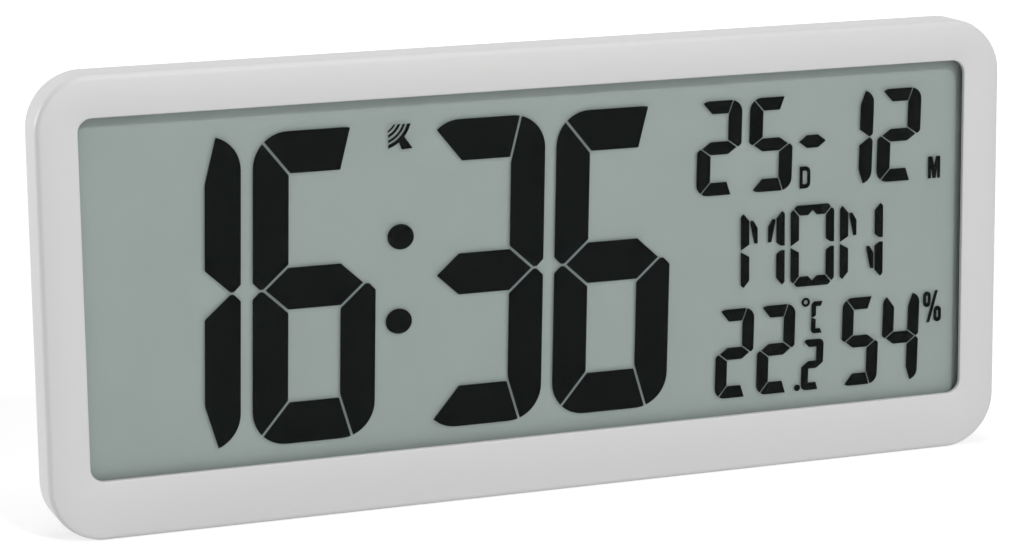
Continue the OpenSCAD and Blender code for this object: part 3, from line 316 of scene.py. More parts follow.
def placing_tree():
    """Tree that sets a copy of a master piece on each point, turned as the point says."""
    name = "copies_on_points"
    if name in bpy.data.node_groups:
        return bpy.data.node_groups[name]
    tree = bpy.data.node_groups.new(name, "GeometryNodeTree")
    tree.interface.new_socket("Points", in_out="INPUT", socket_type="NodeSocketGeometry")
    tree.interface.new_socket("Master", in_out="INPUT", socket_type="NodeSocketObject")
    tree.interface.new_socket("Finish", in_out="INPUT", socket_type="NodeSocketMaterial")
    tree.interface.new_socket("Copies", in_out="OUTPUT", socket_type="NodeSocketGeometry")
    start = tree.nodes.new("NodeGroupInput")
    end = tree.nodes.new("NodeGroupOutput")
    master = tree.nodes.new("GeometryNodeObjectInfo")
    master.transform_space = "ORIGINAL"
    turn = tree.nodes.new("GeometryNodeInputNamedAttribute")
    turn.data_type = "FLOAT_VECTOR"
    turn.inputs["Name"].default_value = "turn"
    rotation = tree.nodes.new("FunctionNodeEulerToRotation")
    spread = tree.nodes.new("GeometryNodeInstanceOnPoints")
    real = tree.nodes.new("GeometryNodeRealizeInstances")
    finish = tree.nodes.new("GeometryNodeSetMaterial")
    links = tree.links
    links.new(start.outputs["Points"], spread.inputs["Points"])
    links.new(start.outputs["Master"], master.inputs["Object"])
    links.new(master.outputs["Geometry"], spread.inputs["Instance"])
    links.new(turn.outputs["Attribute"], rotation.inputs["Euler"])
    links.new(rotation.outputs["Rotation"], spread.inputs["Rotation"])
    links.new(spread.outputs["Instances"], real.inputs["Geometry"])
    links.new(real.outputs["Geometry"], finish.inputs["Geometry"])
    links.new(start.outputs["Finish"], finish.inputs["Material"])
    links.new(finish.outputs["Geometry"], end.inputs["Copies"])
    return tree


def set_input(modifier, name, value):
    """Sets a tree's input by the identifier of its socket."""
    for item in modifier.node_group.interface.items_tree:
        if item.item_type == "SOCKET" and item.in_out == "INPUT" and item.name == name:
            modifier[item.identifier] = value
            return
    raise ValueError(f"the tree has no input named {name}")


def copies(name, master, places, turns, material):
    """Copies of a master mesh at places, each turned by its own angles, as one piece."""
    points = bpy.data.meshes.new(name + "_points")
    points.from_pydata([tuple(place) for place in places], [], [])
    attribute = points.attributes.new("turn", "FLOAT_VECTOR", "POINT")
    for value, turn in zip(attribute.data, turns):
        value.vector = turn
    source = new_object(name + "_master", master)
    piece = new_object(name, points)
    modifier = piece.modifiers.new("copies", "NODES")
    modifier.node_group = placing_tree()
    set_input(modifier, "Master", source)
    set_input(modifier, "Finish", material)
    apply_modifiers(piece)
    shade(piece.data)
    bpy.data.objects.remove(source)
    return piece


# Shader groups

def feed(tree, socket, value):
    """Links a socket to its source, or sets its plain value."""
    if isinstance(value, bpy.types.NodeSocket):
        tree.links.new(value, socket)
    else:
        socket.default_value = value


def calc(tree, operation, first, second):
    """A Math node on two values or sockets."""
    node = tree.nodes.new("ShaderNodeMath")
    node.operation = operation
    feed(tree, node.inputs[0], first)
    feed(tree, node.inputs[1], second)
    return node.outputs[0]


def object_place(tree):
    """The place on a piece in its own coordinates."""
    return tree.nodes.new("ShaderNodeTexCoord").outputs["Object"]


def noise(tree, vector, scale, detail):
    """A Noise Texture on given coordinates."""
    node = tree.nodes.new("ShaderNodeTexNoise")
    tree.links.new(vector, node.inputs["Vector"])
    feed(tree, node.inputs["Scale"], scale)
    feed(tree, node.inputs["Detail"], detail)
    return node.outputs["Fac"]


def swing(tree, pattern, amount):
    """How far a pattern is from its middle, times an amount."""
    return calc(tree, "MULTIPLY", calc(tree, "SUBTRACT", pattern, 0.5), amount)


def tinted(tree, colour, level):
    """A colour times a level."""
    node = tree.nodes.new("ShaderNodeVectorMath")
    node.operation = "SCALE"
    tree.links.new(colour, node.inputs[0])
    tree.links.new(level, node.inputs["Scale"])
    return node.outputs[0]


def surface_group(name, *inputs):
    """A shader group with given inputs, and with colour, roughness and height as its outputs."""
    tree = bpy.data.node_groups.new(name, "ShaderNodeTree")
    for label, kind, value in inputs:
        socket = tree.interface.new_socket(label, in_out="INPUT", socket_type="NodeSocket" + kind)
        socket.default_value = value
    for label, kind in (("Colour", "Color"), ("Roughness", "Float"), ("Height", "Float")):
        tree.interface.new_socket(label, in_out="OUTPUT", socket_type="NodeSocket" + kind)
    return tree, tree.nodes.new("NodeGroupInput"), tree.nodes.new("NodeGroupOutput")


def moulded_group():
    """Fine texture of a mould with a slow drift of tone."""
    name = "moulded_surface"
    if name in bpy.data.node_groups:
        return bpy.data.node_groups[name]
    tree, start, end = surface_group(name, ("Colour", "Color", (0.8, 0.8, 0.8, 1.0)),
                                     ("Grain", "Float", 3000.0), ("Roughness", "Float", 0.45),
                                     ("Drift", "Float", 0.02))
    slow_scale, rough_swing = 18.0, 0.2
    place = object_place(tree)
    fine = noise(tree, place, start.outputs["Grain"], 3.0)
    slow = noise(tree, place, slow_scale, 2.0)
    level = calc(tree, "ADD", 1.0, swing(tree, slow, start.outputs["Drift"]))
    speck = calc(tree, "ADD", level, swing(tree, fine, start.outputs["Drift"]))
    rough = calc(tree, "ADD", start.outputs["Roughness"], swing(tree, fine, rough_swing))
    tree.links.new(tinted(tree, start.outputs["Colour"], speck), end.inputs["Colour"])
    tree.links.new(rough, end.inputs["Roughness"])
    tree.links.new(fine, end.inputs["Height"])
    return tree


def streaked_group():
    """Drawn or turned metal with fine streaks along one direction."""
    name = "streaked_metal"
    if name in bpy.data.node_groups:
        return bpy.data.node_groups[name]
    tree, start, end = surface_group(name, ("Colour", "Color", (0.7, 0.7, 0.7, 1.0)),
                                     ("Streaks", "Float", 2000.0), ("Roughness", "Float", 0.3))
    stain_scale, stain_share, rough_swing = 160.0, 0.14, 0.25
    place = object_place(tree)
    stretch = tree.nodes.new("ShaderNodeMapping")
    stretch.inputs["Scale"].default_value = (0.06, 1.0, 1.0)
    tree.links.new(place, stretch.inputs["Vector"])
    lines = noise(tree, stretch.outputs["Vector"], start.outputs["Streaks"], 4.0)
    stain = noise(tree, place, stain_scale, 3.0)
    marks = calc(tree, "MULTIPLY", calc(tree, "ADD", lines, stain), stain_share)
    level = calc(tree, "ADD", 1.0 - stain_share, marks)
    rough = calc(tree, "ADD", start.outputs["Roughness"], swing(tree, stain, rough_swing))
    tree.links.new(tinted(tree, start.outputs["Colour"], level), end.inputs["Colour"])
    tree.links.new(rough, end.inputs["Roughness"])
    tree.links.new(lines, end.inputs["Height"])
    return tree


# Materials

def blank_material(name):
    """A new node material with its Principled shader."""
    material = bpy.data.materials.new(name)
    material.use_nodes = True
    return material, material.node_tree, material.node_tree.nodes["Principled BSDF"]


def relief(tree, shader, height, strength, distance):
    """Gives a shader the bumps of a height pattern."""
    bump = tree.nodes.new("ShaderNodeBump")
    bump.inputs["Strength"].default_value = strength
    bump.inputs["Distance"].default_value = distance
    tree.links.new(height, bump.inputs["Height"])
    tree.links.new(bump.outputs["Normal"], shader.inputs["Normal"])


def finish_from_group(name, group, values, bump, depth):
    """A material whose colour, roughness and relief come from a shared group, with its shader."""
    material, tree, shader = blank_material(name)
    surface = tree.nodes.new("ShaderNodeGroup")
    surface.node_tree = group
    for key, value in values.items():
        surface.inputs[key].default_value = value
    tree.links.new(surface.outputs["Colour"], shader.inputs["Base Color"])
    tree.links.new(surface.outputs["Roughness"], shader.inputs["Roughness"])
    relief(tree, shader, surface.outputs["Height"], bump, depth)
    return material, shader


def grained(name, colour, roughness, grain=3000.0, drift=0.02, bump=0.25, depth=0.03 * MM, specular=0.4):
    """Moulded plastic, or a sheet with a fine grain."""
    values = {"Colour": (*colour, 1.0), "Grain": grain, "Roughness": roughness, "Drift": drift}
    material, shader = finish_from_group(name, moulded_group(), values, bump, depth)
    shader.inputs["Specular IOR Level"].default_value = specular
    return material


def metal(name, colour, roughness, streaks=2000.0, bump=0.2, depth=0.02 * MM):
    """Drawn or plated metal."""
    values = {"Colour": (*colour, 1.0), "Streaks": streaks, "Roughness": roughness}
    material, shader = finish_from_group(name, streaked_group(), values, bump, depth)
    shader.inputs["Metallic"].default_value = 1.0
    return material


def pane(name, colour, gloss, roughness):
    """A clear sheet that shows a little more of its own gloss towards flat angles, with faint haze."""
    material, tree, shader = blank_material(name)
    haze_scale, haze_share, haze_rough, steepness = 40.0, 0.006, 0.06, 3.0
    haze = noise(tree, object_place(tree), haze_scale, 2.0)
    angle = tree.nodes.new("ShaderNodeLayerWeight")
    shown = calc(tree, "MULTIPLY", calc(tree, "POWER", angle.outputs["Facing"], steepness), gloss)
    alpha = calc(tree, "ADD", shown, calc(tree, "MULTIPLY", haze, haze_share))
    rough = calc(tree, "ADD", roughness, calc(tree, "MULTIPLY", haze, haze_rough))
    tree.links.new(alpha, shader.inputs["Alpha"])
    tree.links.new(rough, shader.inputs["Roughness"])
    shader.inputs["Base Color"].default_value = (*colour, 1.0)
    shader.inputs["IOR"].default_value = 1.49
    return material


def striped(name, dark, light, pitch, roughness):
    """Two materials in fine even layers along X."""
    material, tree, shader = blank_material(name)
    wave = tree.nodes.new("ShaderNodeTexWave")
    wave.bands_direction = "X"
    wave.inputs["Scale"].default_value = math.pi / (10.0 * pitch)
    wave.inputs["Distortion"].default_value = 0.0
    tree.links.new(object_place(tree), wave.inputs["Vector"])
    ramp = tree.nodes.new("ShaderNodeValToRGB")
    for element, position, colour in zip(ramp.color_ramp.elements, (0.4, 0.6), (dark, light)):
        element.position = position
        element.color = (*colour, 1.0)
    tree.links.new(wave.outputs["Fac"], ramp.inputs["Fac"])
    tree.links.new(ramp.outputs["Color"], shader.inputs["Base Color"])
    relief(tree, shader, wave.outputs["Fac"], 0.3, 0.05 * MM)
    shader.inputs["Roughness"].default_value = roughness
    return material


def thin_shadow(material, share):
    """Lets a share of the light past each face of a material, so that its shadow is faint."""
    tree = material.node_tree
    path = tree.nodes.new("ShaderNodeLightPath")
    held = calc(tree, "SUBTRACT", 1.0, calc(tree, "MULTIPLY", path.outputs["Is Shadow Ray"], share))
    tree.links.new(held, tree.nodes["Principled BSDF"].inputs["Alpha"])


def circuit_board():
    """Green lacquer over copper tracks."""
    material, tree, shader = blank_material("circuit_board")
    turn = tree.nodes.new("ShaderNodeMapping")
    turn.inputs["Rotation"].default_value = (math.radians(90.0), 0.0, 0.0)
    tree.links.new(object_place(tree), turn.inputs["Vector"])
    tracks = tree.nodes.new("ShaderNodeTexBrick")
    tracks.inputs["Color1"].default_value = (0.012, 0.10, 0.045, 1.0)
    tracks.inputs["Color2"].default_value = (0.014, 0.115, 0.05, 1.0)
    tracks.inputs["Mortar"].default_value = (0.03, 0.19, 0.08, 1.0)
    tracks.inputs["Scale"].default_value = 90.0
    tracks.inputs["Mortar Size"].default_value = 0.03
    tree.links.new(turn.outputs["Vector"], tracks.inputs["Vector"])
    tree.links.new(tracks.outputs["Color"], shader.inputs["Base Color"])
    relief(tree, shader, tracks.outputs["Fac"], 0.3, 0.04 * MM)
    shader.inputs["Roughness"].default_value = 0.35
    return material


def cell_jacket(colours):
    """Printed jacket of a cell: a dark sleeve, a thin bright line and a band at the positive end."""
    material, tree, shader = blank_material("cell_jacket")
    along = tree.nodes.new("ShaderNodeAttribute")
    along.attribute_name = "along"
    ramp = tree.nodes.new("ShaderNodeValToRGB")
    ramp.color_ramp.interpolation = "CONSTANT"
    stops = ((0.0, colours.jacket), (0.7, (0.6, 0.6, 0.58)), (0.715, colours.band))
    while len(ramp.color_ramp.elements) < len(stops):
        ramp.color_ramp.elements.new(0.5)
    for element, (position, colour) in zip(ramp.color_ramp.elements, stops):
        element.position = position
        element.color = (*colour, 1.0)
    print_scale, gloss, gloss_swing = 2600.0, 0.22, 0.12
    print_grain = noise(tree, object_place(tree), print_scale, 2.0)
    rough = calc(tree, "ADD", gloss, calc(tree, "MULTIPLY", print_grain, gloss_swing))
    tree.links.new(along.outputs["Fac"], ramp.inputs["Fac"])
    tree.links.new(ramp.outputs["Color"], shader.inputs["Base Color"])
    tree.links.new(rough, shader.inputs["Roughness"])
    shader.inputs["Coat Weight"].default_value = 0.4
    return material


# Pieces

def face_lean(width, edge, lip, crown):
    """Sine of the slope with which a crowned face of a given width meets its two round edges."""
    rounds = edge + lip
    flat = width - rounds
    return (math.sqrt(flat ** 2 + 16.0 * crown * rounds) - flat) / (2.0 * rounds)


def make_frame_shell(sizes, colours):
    """Front frame: side wall, round edge, crowned face, round window lip and the inner side of it all."""
    steps = sizes.corner_steps
    edge_steps, face_steps, lip_steps = 10, 24, 8
    crown, edge, lip, rim = sizes.crown, sizes.edge_radius, sizes.lip_radius, sizes.rim_round
    outside = rounded_outline(HALF_W, 0.0, HEIGHT, sizes.corner_radius, steps)
    opening = rounded_outline(WINDOW_X, *WINDOW_Z, sizes.window_radius, steps)
    outward = [(math.cos(turn), math.sin(turn)) for turn in corner_turns(steps)]
    leans = [face_lean(math.dist(rim_point, window_point), edge, lip, crown)
             for rim_point, window_point in zip(outside, opening)]

    def level(line, reach, y):
        return [(x + reach * nx, y, z + reach * nz) for (x, z), (nx, nz) in zip(line, outward)]

    def rounded_edge(line, way, radius, share):
        loop = []
        for (x, z), (nx, nz), lean in zip(line, outward, leans):
            tilt = math.asin(lean)
            turn = (math.pi / 2.0 - tilt) * share
            inset = radius * (1.0 - math.cos(turn))
            y = FRONT_Y + crown + radius * (math.cos(tilt) - math.sin(turn))
            loop.append((x + way * inset * nx, y, z + way * inset * nz))
        return loop

    loops = [level(outside, -rim, SIDE_Y), level(outside, 0.0, SIDE_Y - rim)]
    loops += [rounded_edge(outside, -1.0, edge, step / edge_steps) for step in range(edge_steps + 1)]
    face_start, face_end = loops[-1], rounded_edge(opening, 1.0, lip, 1.0)
    for step in range(1, face_steps):
        share = step / face_steps
        rise = 1.0 - (2.0 * share - 1.0) ** 2
        loops.append([(a[0] + (b[0] - a[0]) * share, a[1] - crown * rise, a[2] + (b[2] - a[2]) * share)
                      for a, b in zip(face_start, face_end)])
    loops += [rounded_edge(opening, 1.0, lip, 1.0 - step / lip_steps) for step in range(lip_steps + 1)]
    loops.append(level(opening, 0.0, FACE_BACK_Y))
    loops.append(level(outside, -sizes.wall, FACE_BACK_Y))
    loops.append(level(outside, -sizes.wall, SIDE_Y - rim))
    loops.append(level(outside, rim / 2.0 - sizes.wall, SIDE_Y))
    mesh = ring_mesh("frame_shell", loops)
    shade(mesh)
    satin = grained("frame_satin", colours.frame, 0.42, grain=4200.0, drift=0.012, bump=0.12)
    hand_over(new_object("frame_shell", mesh), CLOCK, satin, "frame_plastic", "front_frame")
    return satin


def tube_profile(outer_radius, hole_radius, length, hole_depth):
    """Profile of a boss that stands on its foot, with a blind hole from the top."""
    break_edge = 0.3 * MM
    return ((0.0, 0.0), (outer_radius, 0.0), (outer_radius, length - break_edge),
            (outer_radius - break_edge, length), (hole_radius, length),
            (hole_radius, length - hole_depth), (0.0, length - hole_depth))


def solid_middles(node):
    """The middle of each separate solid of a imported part."""
    work = bmesh.new()
    work.from_mesh(frame["nodes"][node].data)
    bmesh.ops.remove_doubles(work, verts=work.verts, dist=MERGE_PACKED)
    left = set(work.verts)
    middles = []
    while left:
        group, reach = set(), [left.pop()]
        while reach:
            vertex = reach.pop()
            group.add(vertex)
            for edge in vertex.link_edges:
                other = edge.other_vert(vertex)
                if other in left:
                    left.remove(other)
                    reach.append(other)
        low = Vector([min(vertex.co[axis] for vertex in group) for axis in range(3)])
        high = Vector([max(vertex.co[axis] for vertex in group) for axis in range(3)])
        middles.append((low + high) / 2.0)
    work.free()
    return sorted(middles, key=lambda point: (round(point.x, 5), round(point.z, 5)))


def make_frame_bosses(sizes, satin):
    """Screw bosses and carrier posts that stand on the back of the frame's face."""
    shell_wall, boss_hole = 2.0 * MM, 8.0 * MM
    boss_length = SCREW_HIGH.y - sizes.screw_head_height - shell_wall - FACE_BACK_Y
    boss = tube_profile(sizes.boss_diameter / 2.0, sizes.screw_shank / 2.0, boss_length, boss_hole)
    post_seat, post_bore, post_hole = 3.9 * MM, 1.0 * MM, 3.8 * MM
    post_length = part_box("display_carrier")[0].y + post_seat - FACE_BACK_Y
    post = tube_profile(sizes.post_diameter / 2.0, post_bore, post_length, post_hole)
    for name, profile, screws in (("frame_bosses", boss, "housing_screws"),
                                  ("carrier_posts", post, "carrier_screws")):
        mesh = turned_mesh(name + "_form", profile, 32)
        shade(mesh)
        places = [(point.x, FACE_BACK_Y, point.z) for point in solid_middles(screws)]
        piece = copies(name, mesh, places, [BACKWARDS] * len(places), satin)
        hand_over(piece, CLOCK, None, "frame_plastic")


def screw_mesh(sizes, length):
    """Pan head screw with a cross recess, its seat at height 0 and its head upwards."""
    radius, height = sizes.screw_head / 2.0, sizes.screw_head_height
    shank = sizes.screw_shank / 2.0
    tip, dome = 0.6 * MM, 0.9 * MM
    profile = [(0.0, -length), (shank - tip / 2.0, -length), (shank, tip - length), (shank, 0.0),
               (radius, 0.0)]
    profile += quarter_arc((radius - dome, height - dome), dome, 0.0, 80.0, 6)
    profile.append((0.0, height))
    head = new_object("screw_head", turned_mesh("screw_head", profile, 48))
    work = bmesh.new()
    reach, half, depth, proud = 1.3 * MM, 0.33 * MM, 1.0 * MM, 0.5 * MM
    reach_taper, half_taper = 0.55, 0.7
    for turn in (0.0, math.pi / 2.0):
        blade = bmesh.ops.create_cube(work, size=1.0)["verts"]
        for vertex in blade:
            low = vertex.co.z < 0.0
            vertex.co.x *= 2.0 * reach * (reach_taper if low else 1.0)
            vertex.co.y *= 2.0 * half * (half_taper if low else 1.0)
            vertex.co.z = height - depth if low else height + proud
        bmesh.ops.rotate(work, verts=blade, cent=(0.0, 0.0, 0.0), matrix=Matrix.Rotation(turn, 3, "Z"))
    cutter_mesh = bpy.data.meshes.new("cross")
    work.to_mesh(cutter_mesh)
    work.free()
    cutter = new_object("cross", cutter_mesh)
    cut = head.modifiers.new("cross", "BOOLEAN")
    cut.operation = "DIFFERENCE"
    cut.solver = "EXACT"
    cut.use_self = True
    cut.object = cutter
    apply_modifiers(head)
    mesh = head.data
    shade(mesh)
    bpy.data.objects.remove(head)
    bpy.data.objects.remove(cutter)
    return mesh


def make_housing_screws(sizes):
    """Eight screws that hold the rear shell to the frame, each stopped at its own angle."""
    steel = metal("screw_steel", (0.55, 0.56, 0.58), 0.32)
    seat_y = SCREW_HIGH.y - sizes.screw_head_height
    length = seat_y - SCREW_LOW.y
    turn_apart = math.radians(37.0)
    places = [(point.x, seat_y, point.z) for point in solid_middles("housing_screws")]
    turns = []
    for index in range(len(places)):
        spin = Matrix.Rotation(turn_apart * index, 4, "Z")
        turns.append(tuple((Euler(BACKWARDS).to_matrix().to_4x4() @ spin).to_euler()))
    piece = copies("housing_screw_set", screw_mesh(sizes, length), places, turns, steel)
    hand_over(piece, CLOCK, None, "screw_steel", "housing_screws")
    dress(steel, "carrier_screws", "board_screws")


def make_rear_shell(sizes, colours):
    """Rear shell, door and stand legs in the same textured plastic."""
    textured = grained("rear_texture", colours.rear, 0.55, grain=2300.0, drift=0.02, bump=0.35)
    hand_over(softened_copy("rear_cover", "rear_shell", sizes.shell_edge), CLOCK, textured,
              "rear_plastic", "rear_cover")
    hand_over(softened_copy("battery_door", "door_panel", sizes.flap_edge), "battery_door", textured,
              "rear_plastic", "battery_door")
    for side in ("left", "right"):
        node = "stand_leg_" + side
        hand_over(softened_copy(node, "leg_panel_" + side, sizes.flap_edge), node, textured,
                  "rear_plastic", node)


def make_buttons(sizes, colours):
    """Four push buttons with round edges and a shallow finger dish."""
    satin = grained("button_satin", colours.button, 0.38, grain=3600.0, drift=0.02, bump=0.15)
    cap, collar, stem = sizes.button_cap / 2.0, sizes.button_collar / 2.0, sizes.button_stem / 2.0
    round_edge, break_edge, dish = sizes.button_round, 0.2 * MM, 0.3 * MM
    cap_height, collar_height = 2.9 * MM, 1.4 * MM
    dish_steps = 8
    for name in BUTTONS:
        node = "button_" + name
        low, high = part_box(node)
        length = high.y - low.y
        collar_top = length - cap_height
        collar_foot = collar_top - collar_height
        profile = [(0.0, 0.0), (stem - break_edge, 0.0), (stem, break_edge), (stem, collar_foot),
                   (collar - break_edge, collar_foot), (collar, collar_foot + break_edge),
                   (collar, collar_top - break_edge), (collar - break_edge, collar_top), (cap, collar_top)]
        profile += quarter_arc((cap - round_edge, length - round_edge), round_edge, 0.0, 90.0, 8)
        for step in range(1, dish_steps + 1):
            share = step / dish_steps
            radius = (cap - round_edge) * (1.0 - share)
            profile.append((radius, length - dish * math.sin(share * math.pi / 2.0) ** 2))
        mesh = turned_mesh(name + "_button", profile, 72)
        middle = (low + high) / 2.0
        place = Matrix.Translation((middle.x, low.y, middle.z))
        mesh.transform(place @ Euler(BACKWARDS).to_matrix().to_4x4())
        shade(mesh)
        hand_over(new_object(name + "_button", mesh), node, satin, "button_plastic", node)


def make_cells(sizes, colours):
    """Two cells side by side, head to tail, with their jackets, shoulders, caps and end plates."""
    radius, cap = sizes.cell_diameter / 2.0, sizes.cell_cap / 2.0
    sleeve = CELL_LENGTH - sizes.cell_cap_length
    dent, foot, shoulder, cap_round = 0.35 * MM, 0.7 * MM, 0.9 * MM, 0.35 * MM
    flange, sunk = cap + 1.1 * MM, sleeve - 0.3 * MM
    jacket_profile = [(0.0, dent), (radius - 1.5 * MM, dent), (radius - 1.2 * MM, 0.05 * MM)]
    jacket_profile += quarter_arc((radius - foot, foot), foot, 270.0, 360.0, 6)
    jacket_profile += quarter_arc((radius - shoulder, sleeve - shoulder), shoulder, 0.0, 90.0, 6)
    jacket_profile += [(cap + 1.3 * MM, sleeve), (flange, sunk), (0.0, sunk)]
    jacket = turned_mesh("cell_jacket", jacket_profile, 72)
    along = jacket.attributes.new("along", "FLOAT", "POINT")
    for value, vertex in zip(along.data, jacket.vertices):
        value.value = vertex.co.z / sleeve
    shade(jacket)
    cap_profile = [(0.0, sunk), (flange, sunk), (flange, sleeve - 0.12 * MM),
                   (cap + 0.2 * MM, sleeve - 0.08 * MM)]
    cap_profile += quarter_arc((cap - cap_round, CELL_LENGTH - cap_round), cap_round, 0.0, 90.0, 5)
    cap_profile.append((0.0, CELL_LENGTH))
    cap_mesh = turned_mesh("cell_cap", cap_profile, 48)
    shade(cap_mesh)
    low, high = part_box("battery_cells")
    half = (high.z - low.z) / 4.0
    y = (low.y + high.y) / 2.0
    places = ((high.x - CELL_LENGTH, y, low.z + half), (low.x + CELL_LENGTH, y, high.z - half))
    turns = ((0.0, math.pi / 2.0, 0.0), (0.0, -math.pi / 2.0, 0.0))
    nickel = metal("nickel_plate", (0.62, 0.61, 0.58), 0.28)
    piece = copies("cell_jackets", jacket, places, turns, cell_jacket(colours))
    hand_over(piece, CLOCK, None, "cell_jacket", "battery_cells")
    piece = copies("cell_caps", cap_mesh, places, turns, nickel)
    hand_over(piece, CLOCK, None, "nickel_metal")
    dress(nickel, "battery_bridge", "battery_terminal_plus", "battery_terminal_minus", "quartz_crystal")


def make_display(sizes, colours):
    """Display cell, from the clear pane back to the reflective sheet."""
    clear = pane("clear_pane", (0.02, 0.022, 0.022), 0.6, 0.06)
    film = pane("polariser_film", (0.03, 0.034, 0.033), 0.3, 0.25)
    glass = pane("display_glass", (0.02, 0.024, 0.023), 0.3, 0.05)
    sheets = (("lens_pane", "display_lens", clear, "clear_pane"),
              ("film_sheet", "lcd_front_polariser", film, "polariser"),
              ("front_glass", "lcd_front_glass", glass, "display_glass"),
              ("rear_glass", "lcd_rear_glass", glass, "display_glass"))
    gap = Vector((0.0, sizes.sheet_gap, 0.0))
    for name, node, finish, slot in sheets:
        low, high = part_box(node)
        edge = min(sizes.sheet_edge, (high.y - low.y) / 4.0)
        mesh = sheet_mesh(name, low + gap, high - gap, sizes.sheet_corner, edge)
        shade(mesh)
        hand_over(new_object(name, mesh), CLOCK, finish, slot, node)
    mark = grained("display_mark", colours.mark, 0.6, grain=2600.0, drift=0.1, bump=0.05, specular=0.0)
    thin_shadow(mark, share=0.8)
    dress(mark, "lcd_time_segments", "lcd_date_segments", "lcd_weekday_segments", "lcd_climate_segments",
          "lcd_symbols")
    dress(grained("reflective_sheet", colours.ground, 0.7, grain=5200.0, drift=0.03, bump=0.1,
                  depth=0.02 * MM, specular=0.2), "lcd_reflector")
    dress(grained("edge_seal", (0.11, 0.125, 0.12), 0.45, drift=0.06), "lcd_edge_seal")


def make_inner_parts():
    """Finishes of the parts inside the case."""
    dress(grained("carrier_plastic", (0.74, 0.74, 0.70), 0.5), "display_carrier")
    dress(striped("connector_strip", (0.02, 0.02, 0.024), (0.16, 0.16, 0.17), 0.5 * MM, 0.6), "lcd_connector")
    dress(circuit_board(), "main_board", "receiver_board")
    dress(grained("chip_seal", (0.012, 0.012, 0.013), 0.22, grain=900.0, drift=0.2, bump=0.1), "driver_chip")
    dress(grained("switch_body", (0.025, 0.026, 0.028), 0.4), "tact_switches")
    dress(grained("sensor_body", (0.7, 0.71, 0.71), 0.4), "climate_sensor")
    dress(grained("ferrite_rod", (0.05, 0.052, 0.056), 0.62, grain=5200.0, drift=0.25, bump=0.5),
          "antenna_rod")
    dress(striped("copper_winding", (0.22, 0.07, 0.022), (0.52, 0.19, 0.07), 0.3 * MM, 0.35), "antenna_coil")
    dress(grained("ribbon_vinyl", (0.26, 0.27, 0.29), 0.5), "receiver_ribbon")
    dress(grained("red_lead", (0.42, 0.02, 0.014), 0.42), "lead_plus")
    dress(grained("black_lead", (0.014, 0.014, 0.016), 0.42), "lead_minus")


# Studio

def white_share(tree):
    """1 for rays that should see a white studio, else 0."""
    path = tree.nodes.new("ShaderNodeLightPath")
    seen = calc(tree, "MAXIMUM", path.outputs["Is Camera Ray"], path.outputs["Is Glossy Ray"])
    return calc(tree, "MAXIMUM", seen, path.outputs["Is Transmission Ray"])


def pick_shader(tree, plain, seen, output):
    """Shows one shader to rays that should see a white studio, and a plain one to the others."""
    pick = tree.nodes.new("ShaderNodeMixShader")
    tree.links.new(white_share(tree), pick.inputs["Fac"])
    tree.links.new(plain, pick.inputs[1])
    tree.links.new(seen, pick.inputs[2])
    tree.links.new(pick.outputs[0], output.inputs["Surface"])


def matt_shader(tree, grey):
    """A plain matt surface."""
    node = tree.nodes.new("ShaderNodeBsdfDiffuse")
    node.inputs["Color"].default_value = (grey, grey, grey, 1.0)
    return node.outputs[0]


def make_floor():
    """White floor that keeps the clock's shadow and meets the white surroundings further out."""
    half, near, far = 4.0, 0.4, 1.2
    near_glow, far_glow = 0.65, 1.0
    plain_grey, seen_grey = 0.9, 0.5
    mesh = mesh_from("studio_floor", [(-half, -half, 0.0), (half, -half, 0.0), (half, half, 0.0),
                                      (-half, half, 0.0)], [(0, 1, 2, 3)])
    floor = new_object("studio_floor", mesh)
    material = bpy.data.materials.new("studio_floor")
    material.use_nodes = True
    tree = material.node_tree
    tree.nodes.clear()
    output = tree.nodes.new("ShaderNodeOutputMaterial")
    distance = tree.nodes.new("ShaderNodeVectorMath")
    distance.operation = "LENGTH"
    rise = tree.nodes.new("ShaderNodeMapRange")
    rise.interpolation_type = "SMOOTHSTEP"
    for name, value in (("From Min", near), ("From Max", far), ("To Min", near_glow), ("To Max", far_glow)):
        rise.inputs[name].default_value = value
    glow = tree.nodes.new("ShaderNodeEmission")
    tree.links.new(object_place(tree), distance.inputs[0])
    tree.links.new(distance.outputs["Value"], rise.inputs["Value"])
    tree.links.new(rise.outputs["Result"], glow.inputs["Strength"])
    both = tree.nodes.new("ShaderNodeAddShader")
    tree.links.new(matt_shader(tree, seen_grey), both.inputs[0])
    tree.links.new(glow.outputs[0], both.inputs[1])
    pick_shader(tree, matt_shader(tree, plain_grey), both.outputs[0], output)
    mesh.materials.append(material)


def make_world(studio):
    """White surroundings to look at, with a plain ambient light."""
    world = bpy.data.worlds.new("studio")
    bpy.context.scene.world = world
    world.use_nodes = True
    tree = world.node_tree
    tree.nodes.clear()
    output = tree.nodes.new("ShaderNodeOutputWorld")
    light = tree.nodes.new("ShaderNodeBackground")
    light.inputs["Strength"].default_value = studio.ambient
    seen = tree.nodes.new("ShaderNodeBackground")
    for background in (light, seen):
        background.inputs["Color"].default_value = (1.0, 1.0, 1.0, 1.0)
    pick_shader(tree, light.outputs[0], seen.outputs[0], output)


def soft_light(name, place, size, watts):
    """A square soft light that faces the clock."""
    lamp = bpy.data.lights.new(name, "AREA")
    lamp.size = size
    lamp.energy = watts
    light = bpy.data.objects.new(name, lamp)
    light.location = place
    light.rotation_euler = (Vector(LIGHT_AIM) - Vector(place)).to_track_quat("-Z", "Y").to_euler()
    bpy.context.scene.collection.objects.link(light)


